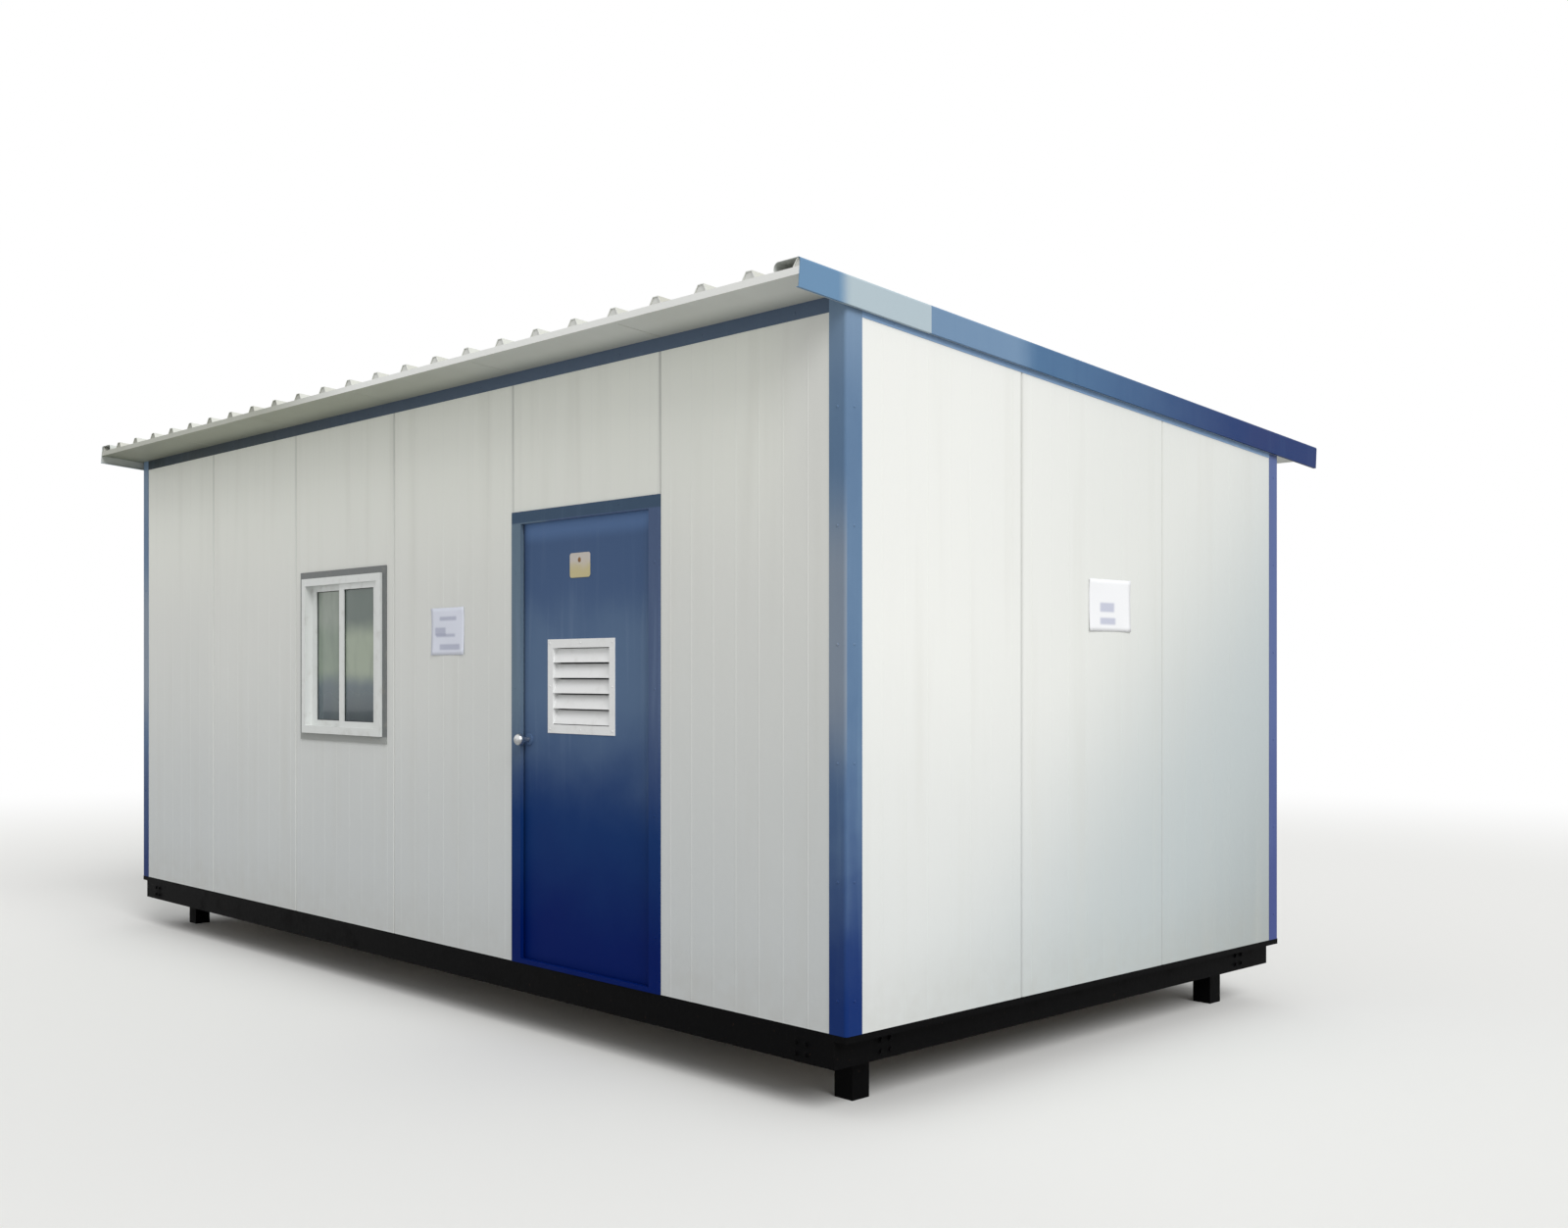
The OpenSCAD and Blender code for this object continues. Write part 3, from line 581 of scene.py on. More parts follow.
base_finish = base_paint()
coat(base_finish, "base_legs", "base_rails_long", "base_rails_end", "floor_joists",
     "sills_long", "sills_end")
coat(floor_board(), "floor_deck")
print("base and floor coated")

# %% [markdown]
# ## White metal and cover strip
#
# The vent and the window frame are white coated metal, cleaner than the walls, and a grey strip covers
# the joint between window and wall. A thin clear coat over the base colour gives the white its harder
# shine, as baked powder has. The strip's foot is paler than its sides.


# %% White metal and cover strip
def clean_white(name, white_tone, grime):
    paint = Finish(name, Specular_IOR_Level=0.5, Coat_Weight=0.15, Coat_Roughness=0.1)
    dirt = paint.noise(18.0, 5.0).step(0.5, 0.85)
    paint.feed("Base Color", (dirt * grime).mix(white_tone, srgb(168, 164, 152)))
    paint.feed("Roughness", 0.28 + 0.2 * dirt)
    paint.bump(paint.noise(200.0, 2.0), 0.0002)
    return paint


cover_low, cover_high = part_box("window_cover")


def cover_strip():
    strip = Finish("cover_strip", Specular_IOR_Level=0.4)
    sill = cover_low.z + 0.033
    dirt = strip.noise(18.0, 5.0).step(0.5, 0.85)
    above_sill = strip.axis("Z").step(sill - 0.004, sill + 0.004)
    tone = above_sill.mix(srgb(158, 161, 158), srgb(112, 116, 116))
    strip.feed("Base Color", (dirt * 0.4).mix(tone, srgb(168, 164, 152)))
    strip.feed("Roughness", 0.35 + 0.2 * dirt)
    strip.bump(strip.noise(200.0, 2.0), 0.0002)
    return strip


vent_finish = clean_white("vent_paint", srgb(248, 249, 249), 0.20)
coat(vent_finish, "door_vent")
coat(clean_white("window_paint", srgb(234, 237, 235), 0.30), "window_frame", "window_sashes")
coat(cover_strip(), "window_cover")
print("vent, window frame and cover strip coated")

# %% [markdown]
# ## Satin steel
#
# The knob and the hinges are satin steel, brushed in one direction. Anisotropic shading could
# stretch the highlight, but fine noise drawn out along Z gives the brush marks themselves, and
# it also survives being baked to a picture.


# %% Satin steel
def satin_steel():
    steel = Finish("satin_steel", Metallic=1.0)
    brushing = steel.noise(160.0, 3.0, (1, 1, 0.08))
    steel.feed("Base Color", brushing.mix(srgb(196, 198, 200), srgb(226, 227, 228)))
    steel.feed("Roughness", 0.22 + 0.16 * brushing)
    steel.bump(brushing, 0.0001)
    return steel


steel_finish = satin_steel()
coat(steel_finish, "hinge_frame_halves", "hinge_door_halves", "door_knob")
print("hardware coated")

# %% [markdown]
# ## Window glass
#
# The glass is thin and tinted. Transmission would bend the light as a thick block does, so an alpha
# below one lets the room behind show instead. Soft bands of tone are a painted reflection of the
# surroundings on the panes, darkest at the foot, and each pane has bands of its own. A streaky film
# lies over them.

# %% Window glass
pane_low, pane_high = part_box("window_glass")


def tinted_glass():
    glass = Finish("tinted_glass", Roughness=0.05, Specular_IOR_Level=0.5, Alpha=0.75,
                   Coat_Weight=0.3, Coat_Roughness=0.02)
    height = glass.axis("Z") + 0.10 * (glass.noise(4.0, 2.0) - 0.5)
    foot_z, middle_z = pane_low.z, pane_low.z + 0.42
    middle_x = (pane_low.x + pane_high.x) / 2
    right = glass.axis("X").step(middle_x - 0.05, middle_x + 0.05)
    # Painted reflection: bands of tone for the surroundings mirrored in each pane, darkest at the
    # foot.
    top = right.mix(srgb(172, 183, 170), srgb(108, 124, 116))
    band = right.mix(srgb(158, 175, 156), srgb(180, 193, 171))
    foot = right.mix(srgb(76, 92, 101), srgb(58, 72, 80))
    upper = height.step(middle_z, middle_z + 0.10).mix(band, top)
    lower = height.step(foot_z - 0.04, foot_z + 0.24).mix(foot, srgb(108, 126, 134))
    tone = height.step(foot_z + 0.17, foot_z + 0.27).mix(lower, upper)
    film = glass.noise(9.0, 3.0, (1, 1, 0.3)).step(0.4, 0.8)
    glass.feed("Base Color", (film * 0.5).mix(tone, srgb(120, 134, 128)))
    return glass


coat(tinted_glass(), "window_glass")
print("glass coated")

# %% [markdown]
# ## Small pieces that repeat
#
# Rivets, screws, beads and seals are one shape many times over. Copies made by hand would
# work, but a Geometry Nodes tree keeps the shape and its places apart: a mesh of loose points
# says where each one sits and which way it looks, and the tree puts the shape there. The
# tree's sizes are named inputs, and what it makes is turned into a plain mesh for one body.


# %% A tree that repeats a shape
class Repeat(Wire):
    """A Geometry Nodes tree with named inputs, run on a mesh of places to make a plain mesh."""

    def __init__(self, name):
        super().__init__(bpy.data.node_groups.new(name, "GeometryNodeTree"))
        self.interface = self.tree.interface
        self.interface.new_socket("Places", in_out="INPUT", socket_type="NodeSocketGeometry")
        self.interface.new_socket("Pieces", in_out="OUTPUT", socket_type="NodeSocketGeometry")
        self.given = self.tree.nodes.new("NodeGroupInput")
        self.places = Wire(self.tree, self.given.outputs["Places"])
        self.sizes = {}

    def size(self, name, value):
        """A named input of the tree, in metres."""
        made = self.interface.new_socket(name, in_out="INPUT", socket_type="NodeSocketFloat")
        self.sizes[name] = (made.identifier, value)
        return Wire(self.tree, self.given.outputs[name])

    def vector(self, *parts):
        return self.node("ShaderNodeCombineXYZ", sockets=dict(enumerate(parts)))

    def facing(self, shape):
        """The shape on every place, with its own Z turned the way the place looks."""
        way = self.node("GeometryNodeInputNamedAttribute", {"data_type": "FLOAT_VECTOR"},
                        {"Name": "facing"}, "Attribute")
        turned = self.node("FunctionNodeAlignRotationToVector", {"axis": "Z"}, {"Vector": way})
        return self.node("GeometryNodeInstanceOnPoints",
                         sockets={"Points": self.places, "Instance": shape, "Rotation": turned})

    def close(self, pieces):
        """Ends the tree in real geometry with a finish on it."""
        self.finish = self.interface.new_socket("Finish", in_out="INPUT",
                                                socket_type="NodeSocketMaterial")
        real = self.node("GeometryNodeRealizeInstances", sockets={0: pieces})
        coated = self.node("GeometryNodeSetMaterial", sockets={
            "Geometry": real, "Material": Wire(self.tree, self.given.outputs["Finish"])})
        self.tree.links.new(coated.socket, self.tree.nodes.new("NodeGroupOutput").inputs["Pieces"])

    def run(self, name, places, finish, body, slot, **changes):
        source = bpy.data.objects.new(name + "_places", places)
        scene.collection.objects.link(source)
        modifier = source.modifiers.new("repeat", "NODES")
        modifier.node_group = self.tree
        for key, (identifier, value) in self.sizes.items():
            modifier[identifier] = changes.get(key.replace(" ", "_"), value)
        modifier[self.finish.identifier] = finish.material
        evaluated = source.evaluated_get(bpy.context.evaluated_depsgraph_get())
        made = bpy.data.meshes.new_from_object(evaluated)
        bpy.data.objects.remove(source)
        hand_over(name, made, body)


print("repeater ready")

# %% [markdown]
# ## Marking out
#
# A maker marks out before drilling: even steps along an edge, and every hole square to its sheet. Here
# the marks are loose points, and each one stores the way it looks as an attribute beside its place. A
# finished mesh is then handed over: it rides on the body that it is fixed to.


# %% Marking out
def hand_over(name, mesh, body):
    """Makes a mesh a piece of the cabin that rides on a body."""
    piece = bpy.data.objects.new(name, mesh)
    scene.collection.objects.link(piece)
    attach(piece, body)
    print("%s: %d faces on %s" % (name, len(mesh.polygons), body))


def loose_points(pairs):
    """A mesh of loose points from pairs of a place and the way it looks."""
    mesh = bpy.data.meshes.new("places")
    mesh.from_pydata([place for place, _ in pairs], [], [])
    ways = mesh.attributes.new("facing", "FLOAT_VECTOR", "POINT")
    for item, (_, way) in zip(ways.data, pairs):
        item.vector = way
    return mesh


def spaced(start, end, pitch):
    """Even steps from start to end, as near to the pitch as they come."""
    count = max(1, round((end - start) / pitch))
    return [start + (end - start) * i / count for i in range(count + 1)]


LEFT, RIGHT = Vector((-1, 0, 0)), Vector((1, 0, 0))
FRONT, BACK = Vector((0, -1, 0)), Vector((0, 1, 0))
print("ready to mark out")

# %% [markdown]
# ## Beads of the wall sheets
#
# The skins are rolled with low upright beads that keep them flat. A bead could be a bump in
# the shader, but a bump has no outline and no shadow at a grazing light. Here each bead is a
# round bar sunk in the wall until less than a millimetre shows: a mesh of upright edges gives
# the lines, Mesh to Curve makes them curves, and Curve to Mesh gives them a round section.

# %% Wall beads
BEAD_R = 7 * MM
BEAD_RISE = 0.8 * MM
BEAD_PITCH = 0.125
BEAD_STOP = 20 * MM

beads = Repeat("wall_beads")
bead_line = beads.node("GeometryNodeMeshToCurve", sockets={"Mesh": beads.places})
bead_ring = beads.node("GeometryNodeCurvePrimitiveCircle",
                       sockets={"Resolution": 16, "Radius": beads.size("Bead radius", BEAD_R)})
beads.close(beads.node("GeometryNodeCurveToMesh",
                       sockets={"Curve": bead_line, "Profile Curve": bead_ring, "Fill Caps": True}))

sunk = BEAD_R - BEAD_RISE


def bead_spans(x, top):
    """The stretches of height that a bead of the front wall covers at x."""
    if door_left < x < door_right:
        return [(door_top, top)]
    if cover_low.x < x < cover_high.x:
        return [(wall_foot, cover_low.z), (cover_high.z, top)]
    return [(wall_foot, top)]


bead_ends = []
for k in range(round(2 * half_length / BEAD_PITCH)):
    x = BEAD_PITCH * (k + 0.5) - half_length
    for z0, z1 in bead_spans(x, soffit_front - BEAD_STOP):
        bead_ends += [(x, front_y + sunk, z0), (x, front_y + sunk, z1)]
    bead_ends += [(x, back_y - sunk, wall_foot), (x, back_y - sunk, soffit_z(back_y) - BEAD_STOP)]
for k in range(round((back_y - front_y) / BEAD_PITCH)):
    y = front_y + BEAD_PITCH * (k + 0.5)
    for x in (sunk - half_length, half_length - sunk):
        bead_ends += [(x, y, wall_foot), (x, y, soffit_z(y) - BEAD_STOP)]
bead_lines = bpy.data.meshes.new("bead_lines")
bead_lines.from_pydata(bead_ends, [(i, i + 1) for i in range(0, len(bead_ends), 2)], [])
beads.run("wall_beads", bead_lines, wall_finish, "cabin", "wall_white")

# %% [markdown]
# ## Rivets and screws
#
# Pop rivets hold the corner trims and tracks, and small domed screws hold the door frame, the
# vent and the hinges. Seen from outside they are all low domes, so one tree serves: a UV
# sphere flattened to the head's rise, with its lower half hidden in the sheet. A dome of ten
# by six faces is round enough at this size.

# %% A domed head
heads = Repeat("domed_heads")
head_r = heads.size("Head radius", 6 * MM)
head_rise = heads.size("Head rise", 2 * MM)
dome = heads.node("GeometryNodeMeshUVSphere", sockets={"Segments": 10, "Rings": 6, "Radius": 1.0})
dome = heads.node("GeometryNodeTransform",
                  sockets={"Geometry": dome, "Scale": heads.vector(head_r, head_r, head_rise)})
heads.close(heads.facing(heads.node("GeometryNodeSetShadeSmooth", sockets={"Geometry": dome})))
print("domed head has inputs:", list(heads.sizes))

# %% Corner rivets
CORNER_MID = 40 * MM
CORNER_RIVET_PITCH = 0.44
FROM_FOOT, FROM_TOP = 0.12, 0.15

corner_low, corner_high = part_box("corner_trims")
corner_rivets = []
for z in spaced(wall_foot + FROM_FOOT, soffit_z(back_y) - FROM_TOP, CORNER_RIVET_PITCH):
    for x in (half_length - CORNER_MID, CORNER_MID - half_length):
        corner_rivets += [((x, corner_low.y, z), FRONT), ((x, corner_high.y, z), BACK)]
    for y in (front_y + CORNER_MID, back_y - CORNER_MID):
        corner_rivets += [((corner_high.x, y, z), RIGHT), ((corner_low.x, y, z), LEFT)]
heads.run("corner_rivets", loose_points(corner_rivets), corner_finish, "cabin", "trim_blue")

# %% Track rivets
TRACK_RIVET_PITCH = 0.5
FROM_TRACK_END = 0.25
LONG_TRACK_MID = 32 * MM
GABLE_TRACK_MID = 56 * MM

track_rivets = []
for x in spaced(FROM_TRACK_END - half_length, half_length - FROM_TRACK_END, TRACK_RIVET_PITCH):
    track_rivets += [((x, front_y - TRIM_T, soffit_front - LONG_TRACK_MID), FRONT),
                     ((x, back_y + TRIM_T, soffit_z(back_y) - LONG_TRACK_MID), BACK)]
heads.run("track_rivets", loose_points(track_rivets), track_finish, "cabin", "trim_blue")
track_low, track_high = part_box("gable_tracks")
gable_rivets = []
for y in spaced(front_y + FROM_TRACK_END, back_y - FROM_TRACK_END, TRACK_RIVET_PITCH):
    z = soffit_z(y) - GABLE_TRACK_MID
    gable_rivets += [((track_high.x, y, z), RIGHT), ((track_low.x, y, z), LEFT)]
heads.run("gable_rivets", loose_points(gable_rivets), gable_finish, "cabin", "trim_blue")

# %% Door frame screws
JAMB_MID = 28 * MM
HEAD_MID = 20 * MM
JAMB_LEVELS = (0.22, 0.70, 1.20, 1.70)
HEAD_STEPS = (0.25, 0.50, 0.75)

frame_screws = [((x, jamb_low.y, wall_foot + z), FRONT)
                for x in (door_left + JAMB_MID, door_right - JAMB_MID) for z in JAMB_LEVELS]
frame_screws += [((door_left + x, jamb_low.y, door_top - HEAD_MID), FRONT) for x in HEAD_STEPS]
heads.run("door_frame_screws", loose_points(frame_screws), frame_finish, "cabin", "door_blue",
          Head_radius=5 * MM)

# %% [markdown]
# ## Vent and hinge screws
#
# The vent's screws and half of the hinges' screws move with the door. Each piece is one mesh on
# one body, so they are made apart from the rest and ride on the door. The hinge plates look
# into the cabin, and their screws with them.

# %% Vent screws
FLANGE_MID = 17 * MM

vent_low, vent_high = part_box("door_vent")
vent_xs = (vent_low.x + FLANGE_MID, (vent_low.x + vent_high.x) / 2, vent_high.x - FLANGE_MID)
vent_zs = (vent_low.z + FLANGE_MID, (vent_low.z + vent_high.z) / 2, vent_high.z - FLANGE_MID)
vent_screws = [((x, vent_low.y, z), FRONT) for x in vent_xs for z in vent_zs
               if (x, z) != (vent_xs[1], vent_zs[1])]
heads.run("vent_screws", loose_points(vent_screws), vent_finish, "door", "vent_white",
          Head_radius=5 * MM)

# %% Hinge screws
HINGE_H = 90 * MM
HINGE_PLATE_T = 3 * MM
HINGE_SCREW_STEP = 30 * MM


def hinge_screws(name, node, from_edge, body):
    """Three screws on each of three plates; from_edge is the plate's middle, from low X."""
    low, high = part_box(node)
    levels = [low.z + HINGE_H / 2, (low.z + high.z) / 2, high.z - HINGE_H / 2]
    pairs = [((low.x + from_edge, low.y + HINGE_PLATE_T, level + step), BACK)
             for level in levels for step in (-HINGE_SCREW_STEP, 0, HINGE_SCREW_STEP)]
    heads.run(name, loose_points(pairs), steel_finish, body, "hardware_steel",
              Head_radius=4 * MM, Head_rise=1.5 * MM)


hinge_screws("hinge_frame_screws", "hinge_frame_halves", 36 * MM, "cabin")
hinge_screws("hinge_door_screws", "hinge_door_halves", 18 * MM, "door")

# %% [markdown]
# ## Roof screws
#
# The roof sheet is held down through the crests of its ribs, with a hexagon head on a washer,
# in rows across the fall. A six-sided cylinder on a flat cone of sixteen sides, joined in one
# tree, is the whole shape. Its four sizes are inputs, because the base's bolts need the same
# shape larger.

# %% A bolt on a washer
bolts = Repeat("washer_bolts")
bolt_r = bolts.size("Bolt radius", 6 * MM)
bolt_h = bolts.size("Bolt height", 5 * MM)
washer_r = bolts.size("Washer radius", 11 * MM)
washer_h = bolts.size("Washer height", 2 * MM)
bolt = bolts.node("GeometryNodeMeshCylinder",
                  sockets={"Vertices": 6, "Radius": bolt_r, "Depth": bolt_h})
bolt = bolts.node("GeometryNodeTransform", sockets={
    "Geometry": bolt, "Translation": bolts.vector(0.0, 0.0, bolt_h * 0.5 + washer_h)})
washer = bolts.node("GeometryNodeMeshCone", sockets={
    "Vertices": 16, "Radius Top": washer_r * 0.8, "Radius Bottom": washer_r, "Depth": washer_h})
joined = bolts.tree.nodes.new("GeometryNodeJoinGeometry")
for part in (washer, bolt):
    bolts.tree.links.new(part.socket, joined.inputs[0])
bolts.close(bolts.facing(Wire(bolts.tree, joined.outputs[0])))
print("bolt has inputs:", list(bolts.sizes))

# %% Roof screws
FALL = math.atan(ROOF_FALL)
RIBS = 24
ROOF_CREST = 56 * MM
UP = Vector((0, math.sin(FALL), math.cos(FALL)))
DOWN_FALL = Vector((0, math.cos(FALL), -math.sin(FALL)))
roof_low, roof_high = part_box("roof_panels")
roof_start = Vector((0, front_y, soffit_front))


def on_roof(x, along, above):
    """A place on the roof: x, metres down the fall from the front wall, metres above the soffit."""
    return roof_start + Vector((x, 0, 0)) + DOWN_FALL * along + UP * above


rib_pitch = (roof_high.x - roof_low.x) / RIBS
screw_rows = spaced(-0.12, 3.2, 0.66)
roof_screws = [(on_roof(roof_low.x + rib_pitch * k, row, ROOF_CREST), UP)
               for k in range(1, RIBS) for row in screw_rows]
bolts.run("roof_screws", loose_points(roof_screws), steel_finish, "cabin", "hardware_steel")

# %% [markdown]
# ## Foam in the ribs
#
# The roof sheet is bonded to a foam core, and the foam shows pale in the open end of every rib.
# One block fits each end. A cube drawn in towards its top by Set Position keeps the foot's and
# the crest's widths as named inputs, so the half ribs under the verges take the same tree with
# smaller sizes.

# %% A block of foam
foam = Repeat("rib_foam")
foam_foot = foam.size("Foot width", 57 * MM)
foam_crest = foam.size("Crest width", 26 * MM)
foam_height = foam.size("Height", 26 * MM)
foam_depth = foam.size("Depth", 30 * MM)
block = foam.node("GeometryNodeMeshCube",
                  sockets={"Size": foam.vector(1.0, 1.0, 1.0), "Vertices Y": 5})
position = foam.node("GeometryNodeInputPosition")
spot = foam.node("ShaderNodeSeparateXYZ", sockets={0: position}).socket.node.outputs
side, level, deep = (Wire(foam.tree, spot[k]) for k in range(3))
width = foam_foot + (foam_crest - foam_foot) * (level + 0.5)
block = foam.node("GeometryNodeSetPosition", sockets={
    "Geometry": block, "Position": foam.vector(side * width, level * foam_height, deep * foam_depth)})
foam.close(foam.facing(block))
print("foam block has inputs:", list(foam.sizes))

# %% Rib foam
FOAM_MID = 39.75 * MM
ROOF_ENDS = (-0.2508, 3.3507)
FOAM_INSET = 19 * MM
HALF_RIB_MID = 15 * MM

foam_rows = (ROOF_ENDS[0] + FOAM_INSET, ROOF_ENDS[1] - FOAM_INSET)
foam_finish = Finish("rib_foam", Specular_IOR_Level=0.2)
grain = foam_finish.noise(420.0, 2.0)
# Painted shade: the foam is painted darker towards the far end.
foam_tone = foam_finish.axis("X").step(-0.9, 0.4).mix(srgb(156, 158, 146), srgb(232, 233, 229))
foam_finish.feed("Base Color", (grain * 0.4).mix(foam_tone, srgb(244, 245, 241)))
foam_finish.feed("Roughness", 0.75 + 0.2 * grain)
foam_finish.bump(grain, 0.0008)
whole_ribs = [(on_roof(roof_low.x + rib_pitch * k, row, FOAM_MID), -DOWN_FALL)
              for k in range(1, RIBS) for row in foam_rows]
foam.run("rib_foam", loose_points(whole_ribs), foam_finish, "cabin", "roof_sheet")
half_ribs = [(on_roof(x, row, FOAM_MID), -DOWN_FALL)
             for x in (roof_low.x + HALF_RIB_MID, roof_high.x - HALF_RIB_MID) for row in foam_rows]
foam.run("rib_foam_half", loose_points(half_ribs), foam_finish, "cabin", "roof_sheet",
         Foot_width=27 * MM, Crest_width=11 * MM, Height=25 * MM)

# %% [markdown]
# ## Base bolts
#
# Bolts through the base rails stand over every leg, two across and two high. The roof's tree
# makes these too: a run may change any of its sizes, so no second shape is needed.

# %% Base bolts
FROM_RAIL_EDGE = 30 * MM
FROM_LEG_EDGE = (20 * MM, 70 * MM)


def over_legs(low, high):
    """Two places over each of two legs that stand at the ends of a box."""
    return [low + step for step in FROM_LEG_EDGE] + [high - step for step in FROM_LEG_EDGE[::-1]]


leg_low, leg_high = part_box("base_legs")
rail_low, rail_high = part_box("base_rails_long")
end_low, end_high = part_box("base_rails_end")
base_bolts = []
for z in (rail_low.z + FROM_RAIL_EDGE, rail_high.z - FROM_RAIL_EDGE):
    for x in over_legs(leg_low.x, leg_high.x):
        base_bolts += [((x, rail_low.y, z), FRONT), ((x, rail_high.y, z), BACK)]
    for y in over_legs(leg_low.y, leg_high.y):
        base_bolts += [((end_high.x, y, z), RIGHT), ((end_low.x, y, z), LEFT)]
bolts.run("base_bolts", loose_points(base_bolts), base_finish, "cabin", "base_black",
          Bolt_radius=8 * MM, Bolt_height=7 * MM, Washer_radius=13 * MM)

# %% [markdown]
# ## Window seals
#
# A dark rubber seal runs round each pane where the glass meets its sash. Four bars could be
# laid round a pane, but a rectangle curve with a round section has closed corners and makes a
# seal at once, and the tree sets it on both sides of both panes.

# %% Window seals
PANE_W = 296 * MM
GLASS_T = 5 * MM

seals = Repeat("window_seals")
seal_loop = seals.node("GeometryNodeCurvePrimitiveQuadrilateral", {"mode": "RECTANGLE"}, {
    "Width": seals.size("Pane width", PANE_W),
    "Height": seals.size("Pane height", pane_high.z - pane_low.z)})
seal_ring = seals.node("GeometryNodeCurvePrimitiveCircle",
                       sockets={"Resolution": 10, "Radius": seals.size("Seal radius", 4 * MM)})
seals.close(seals.facing(seals.node("GeometryNodeCurveToMesh",
                                    sockets={"Curve": seal_loop, "Profile Curve": seal_ring})))

pane_mid = (pane_low.z + pane_high.z) / 2
right_pane, left_pane = pane_high.x - PANE_W / 2, pane_low.x + PANE_W / 2
seal_places = []
for x, y in ((right_pane, pane_low.y), (left_pane, pane_high.y - GLASS_T)):
    seal_places += [((x, y, pane_mid), FRONT), ((x, y + GLASS_T, pane_mid), BACK)]
rubber = Finish("seal_rubber", Specular_IOR_Level=0.2)
worn = rubber.noise(30.0, 3.0)
rubber.feed("Base Color", worn.mix(srgb(44, 48, 47), srgb(70, 74, 72)))
rubber.feed("Roughness", 0.6 + 0.2 * worn)
seals.run("window_seals", loose_points(seal_places), rubber, "cabin", "window_seal")

# %% [markdown]
# ## Paper notices
#
# A sheet of paper is fixed to the front wall and another to the end wall. They carry no words,
# only plain grey bars. The bars are bands of tone cut from Object coordinates, because ink has
# no height. Paper never lies quite flat, so each sheet is a fine grid whose corners lift a
# little, and Solidify closes it with a thin back.


# %% Paper
def paper(name, tone, along, corner, bars):
    """Paper with plain bars; each bar is (u0, u1, v0, v1) in metres from the sheet's low corner."""
    sheet = Finish(name, Specular_IOR_Level=0.2)
    ink = 0.0
    for u0, u1, v0, v1 in bars:
        across = sheet.axis(along) - corner[0]
        up = sheet.axis("Z") - corner[1]
        bar = across.step(u0 - 0.01, u0 + 0.01) * (1 - across.step(u1 - 0.01, u1 + 0.01))
        ink = ink + bar * up.step(v0 - 0.006, v0 + 0.006) * (1 - up.step(v1 - 0.006, v1 + 0.006))
    creases = sheet.noise(14.0, 3.0)
    sheet.feed("Base Color", (ink * 0.8).mix(tone, srgb(190, 194, 214)))
    sheet.feed("Roughness", 0.65 + 0.2 * creases)
    sheet.bump(creases, 0.0003)
    return sheet


front_corner = Vector((0.342, front_y, wall_foot + 1.347))
front_bars = [(0.07, 0.21, 0.160, 0.178), (0.03, 0.12, 0.092, 0.128), (0.04, 0.20, 0.084, 0.098),
              (0.07, 0.24, 0.024, 0.050)]
front_paper = paper("front_paper", srgb(238, 242, 255), "X", (front_corner.x, front_corner.z),
                    front_bars)
end_corner = Vector((half_length, front_y + 1.448, wall_foot + 1.436))
end_bars = [(0.08, 0.18, 0.080, 0.118), (0.08, 0.19, 0.028, 0.056)]
end_paper = paper("end_paper", srgb(248, 249, 251), "Y", (end_corner.y, end_corner.z), end_bars)
print("paper with %d bars and with %d" % (len(front_bars), len(end_bars)))

# %% Notices
PAPER_T = 0.4 * MM
PAPER_CLEAR = 2.4 * MM
PAPER_WAVE = 0.7 * MM
CORNER_LIFT = 4.0 * MM


def notice(name, corner, across, out, width, height, finish):
    """A sheet with its low corner at a place on a wall; its corners lift from the wall."""
    mesh = bmesh.new()
    bmesh.ops.create_grid(mesh, x_segments=14, y_segments=12, size=1.0)
    for v in mesh.verts:
        u, w = v.co.x, v.co.y
        lift = PAPER_CLEAR + CORNER_LIFT * abs(u * w) ** 3 + PAPER_WAVE * math.sin(3.1 * u + 2.3 * w)
        flat = corner + across * (width * (u + 1) / 2) + Vector((0, 0, height * (w + 1) / 2))
        v.co = flat + out * lift
    mesh.normal_update()
    bmesh.ops.solidify(mesh, geom=mesh.faces[:], thickness=PAPER_T)
    bmesh.ops.recalc_face_normals(mesh, faces=mesh.faces[:])
    made = bpy.data.meshes.new(name)
    mesh.to_mesh(made)
    mesh.free()
    made.materials.append(finish.material)
    made.shade_smooth()
    hand_over(name, made, "cabin")


notice("front_notice", front_corner, RIGHT, FRONT, 0.274, 0.219, front_paper)
notice("end_notice", end_corner, BACK, RIGHT, 0.300, 0.215, end_paper)

# %% [markdown]
# ## Plate on the door
#
# A small bare plate, yellowed with age, is fixed high on the door by one screw. A scaled cube
# would have sharp corners, so its rounded outline is drawn as a polygon, pulled out to its
# thickness and bevelled at the front edge, which catches the light as pressed metal does.

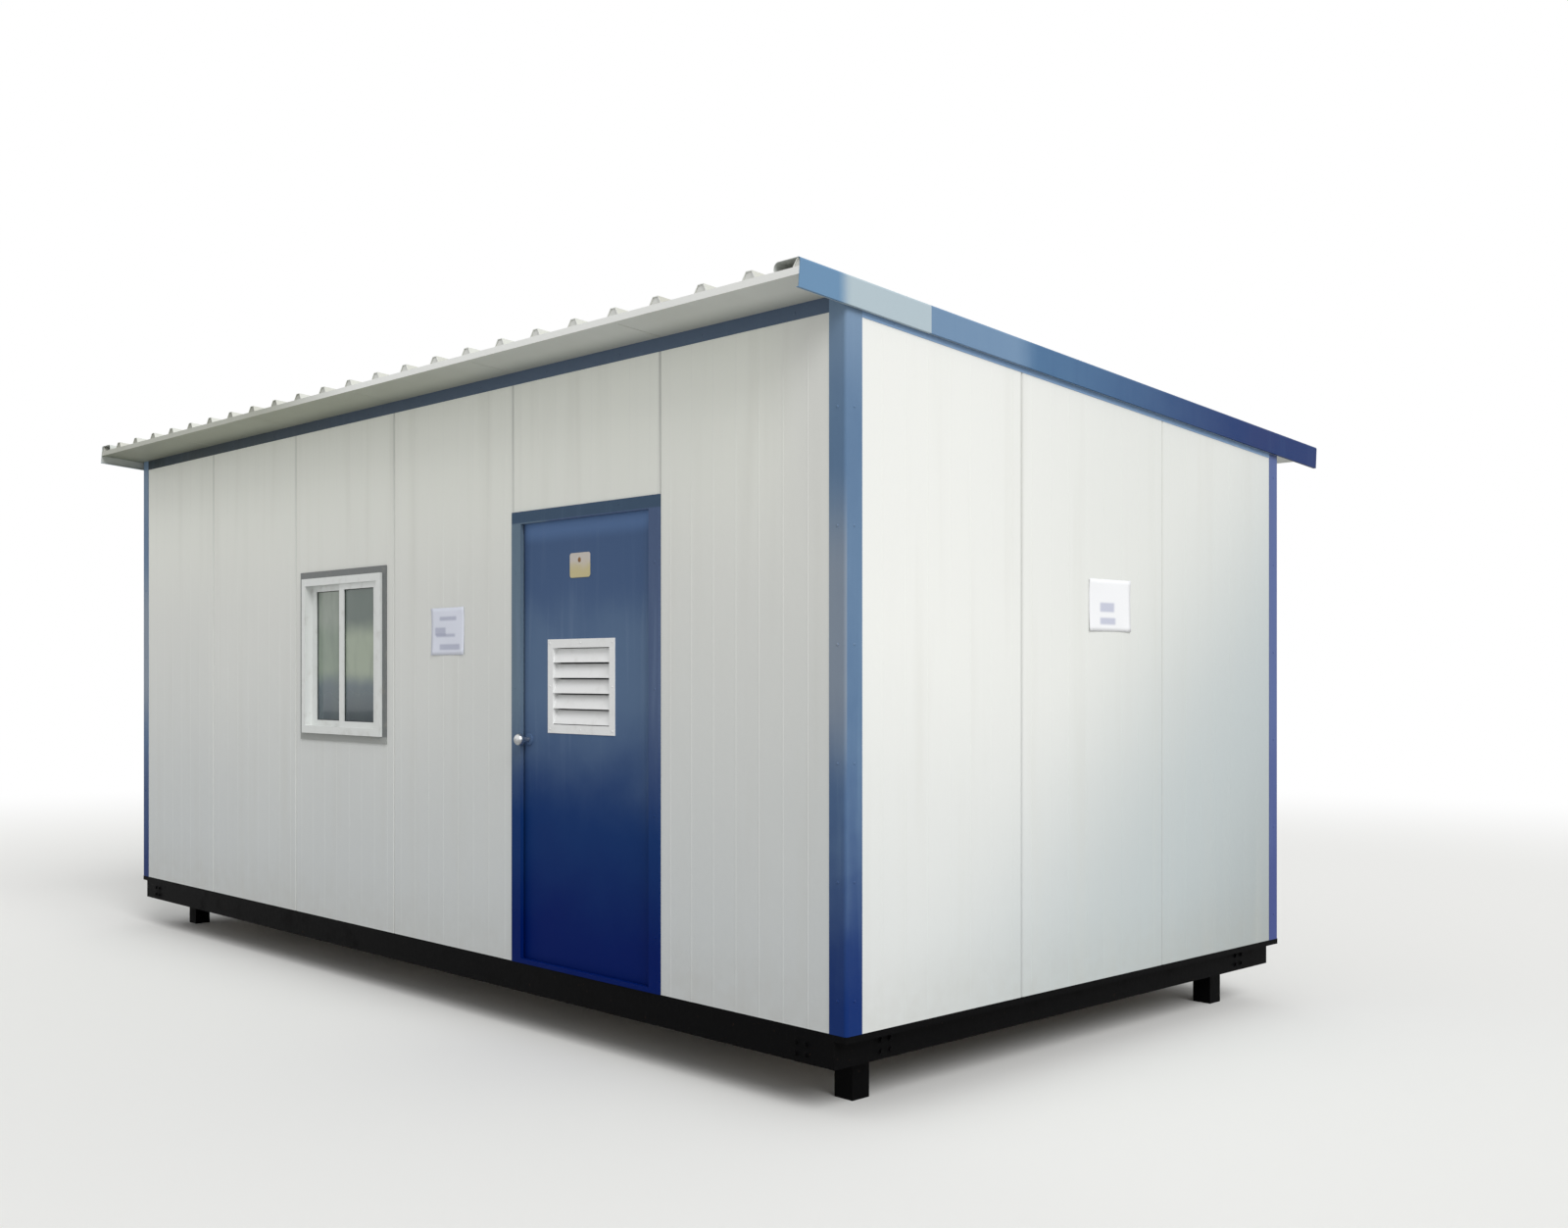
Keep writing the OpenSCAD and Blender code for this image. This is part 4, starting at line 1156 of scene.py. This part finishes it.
# %% Door plate
PLATE_W, PLATE_H, PLATE_T, PLATE_R = 0.138, 0.104, 3 * MM, 12 * MM
plate_centre = Vector((1.46, leaf_low.y, wall_foot + 1.7155))


def door_plate(finish):
    mesh = bmesh.new()
    outline = []
    for sx, sz, start in ((1, 1, 0), (-1, 1, 90), (-1, -1, 180), (1, -1, 270)):
        for step in range(7):
            turn = math.radians(start + 15 * step)
            across = sx * (PLATE_W / 2 - PLATE_R) + PLATE_R * math.cos(turn)
            up = sz * (PLATE_H / 2 - PLATE_R) + PLATE_R * math.sin(turn)
            outline.append(plate_centre + Vector((across, 0, up)))
    face = mesh.faces.new([mesh.verts.new(p) for p in outline])
    pulled = bmesh.ops.extrude_face_region(mesh, geom=[face])
    front = [g for g in pulled["geom"] if isinstance(g, bmesh.types.BMFace)]
    for v in {v for f in front for v in f.verts}:
        v.co.y -= PLATE_T
    rim = [e for f in front for e in f.edges]
    bmesh.ops.bevel(mesh, geom=rim, offset=1 * MM, segments=2, affect="EDGES")
    bmesh.ops.recalc_face_normals(mesh, faces=mesh.faces[:])
    made = bpy.data.meshes.new("door_plate")
    mesh.to_mesh(made)
    mesh.free()
    made.materials.append(finish.material)
    hand_over("door_plate", made, "door")


plate_finish = Finish("aged_plate", Specular_IOR_Level=0.3)
stain = plate_finish.noise(22.0, 3.0)
plate_rise = plate_finish.axis("Z") + 0.04 * (stain - 0.5)
upper_plate = plate_rise.step(plate_centre.z - 0.03, plate_centre.z + 0.03)
plate_finish.feed("Base Color", upper_plate.mix(srgb(210, 198, 152), srgb(214, 206, 198)))
plate_finish.feed("Roughness", 0.4 + 0.2 * stain)
door_plate(plate_finish)

# %% Plate screw
plate_screw = plate_centre + Vector((-0.002, -PLATE_T, 0.022))
rust = Finish("rusted_head", Specular_IOR_Level=0.2)
rust.feed("Base Color", rust.noise(90.0, 3.0).mix(srgb(128, 92, 62), srgb(168, 134, 98)))
rust.feed("Roughness", 0.6 + 0.3 * rust.noise(60.0, 2.0))
heads.run("door_plate_screw", loose_points([(plate_screw, FRONT)]), rust, "door", "door_blue",
          Head_radius=11 * MM)
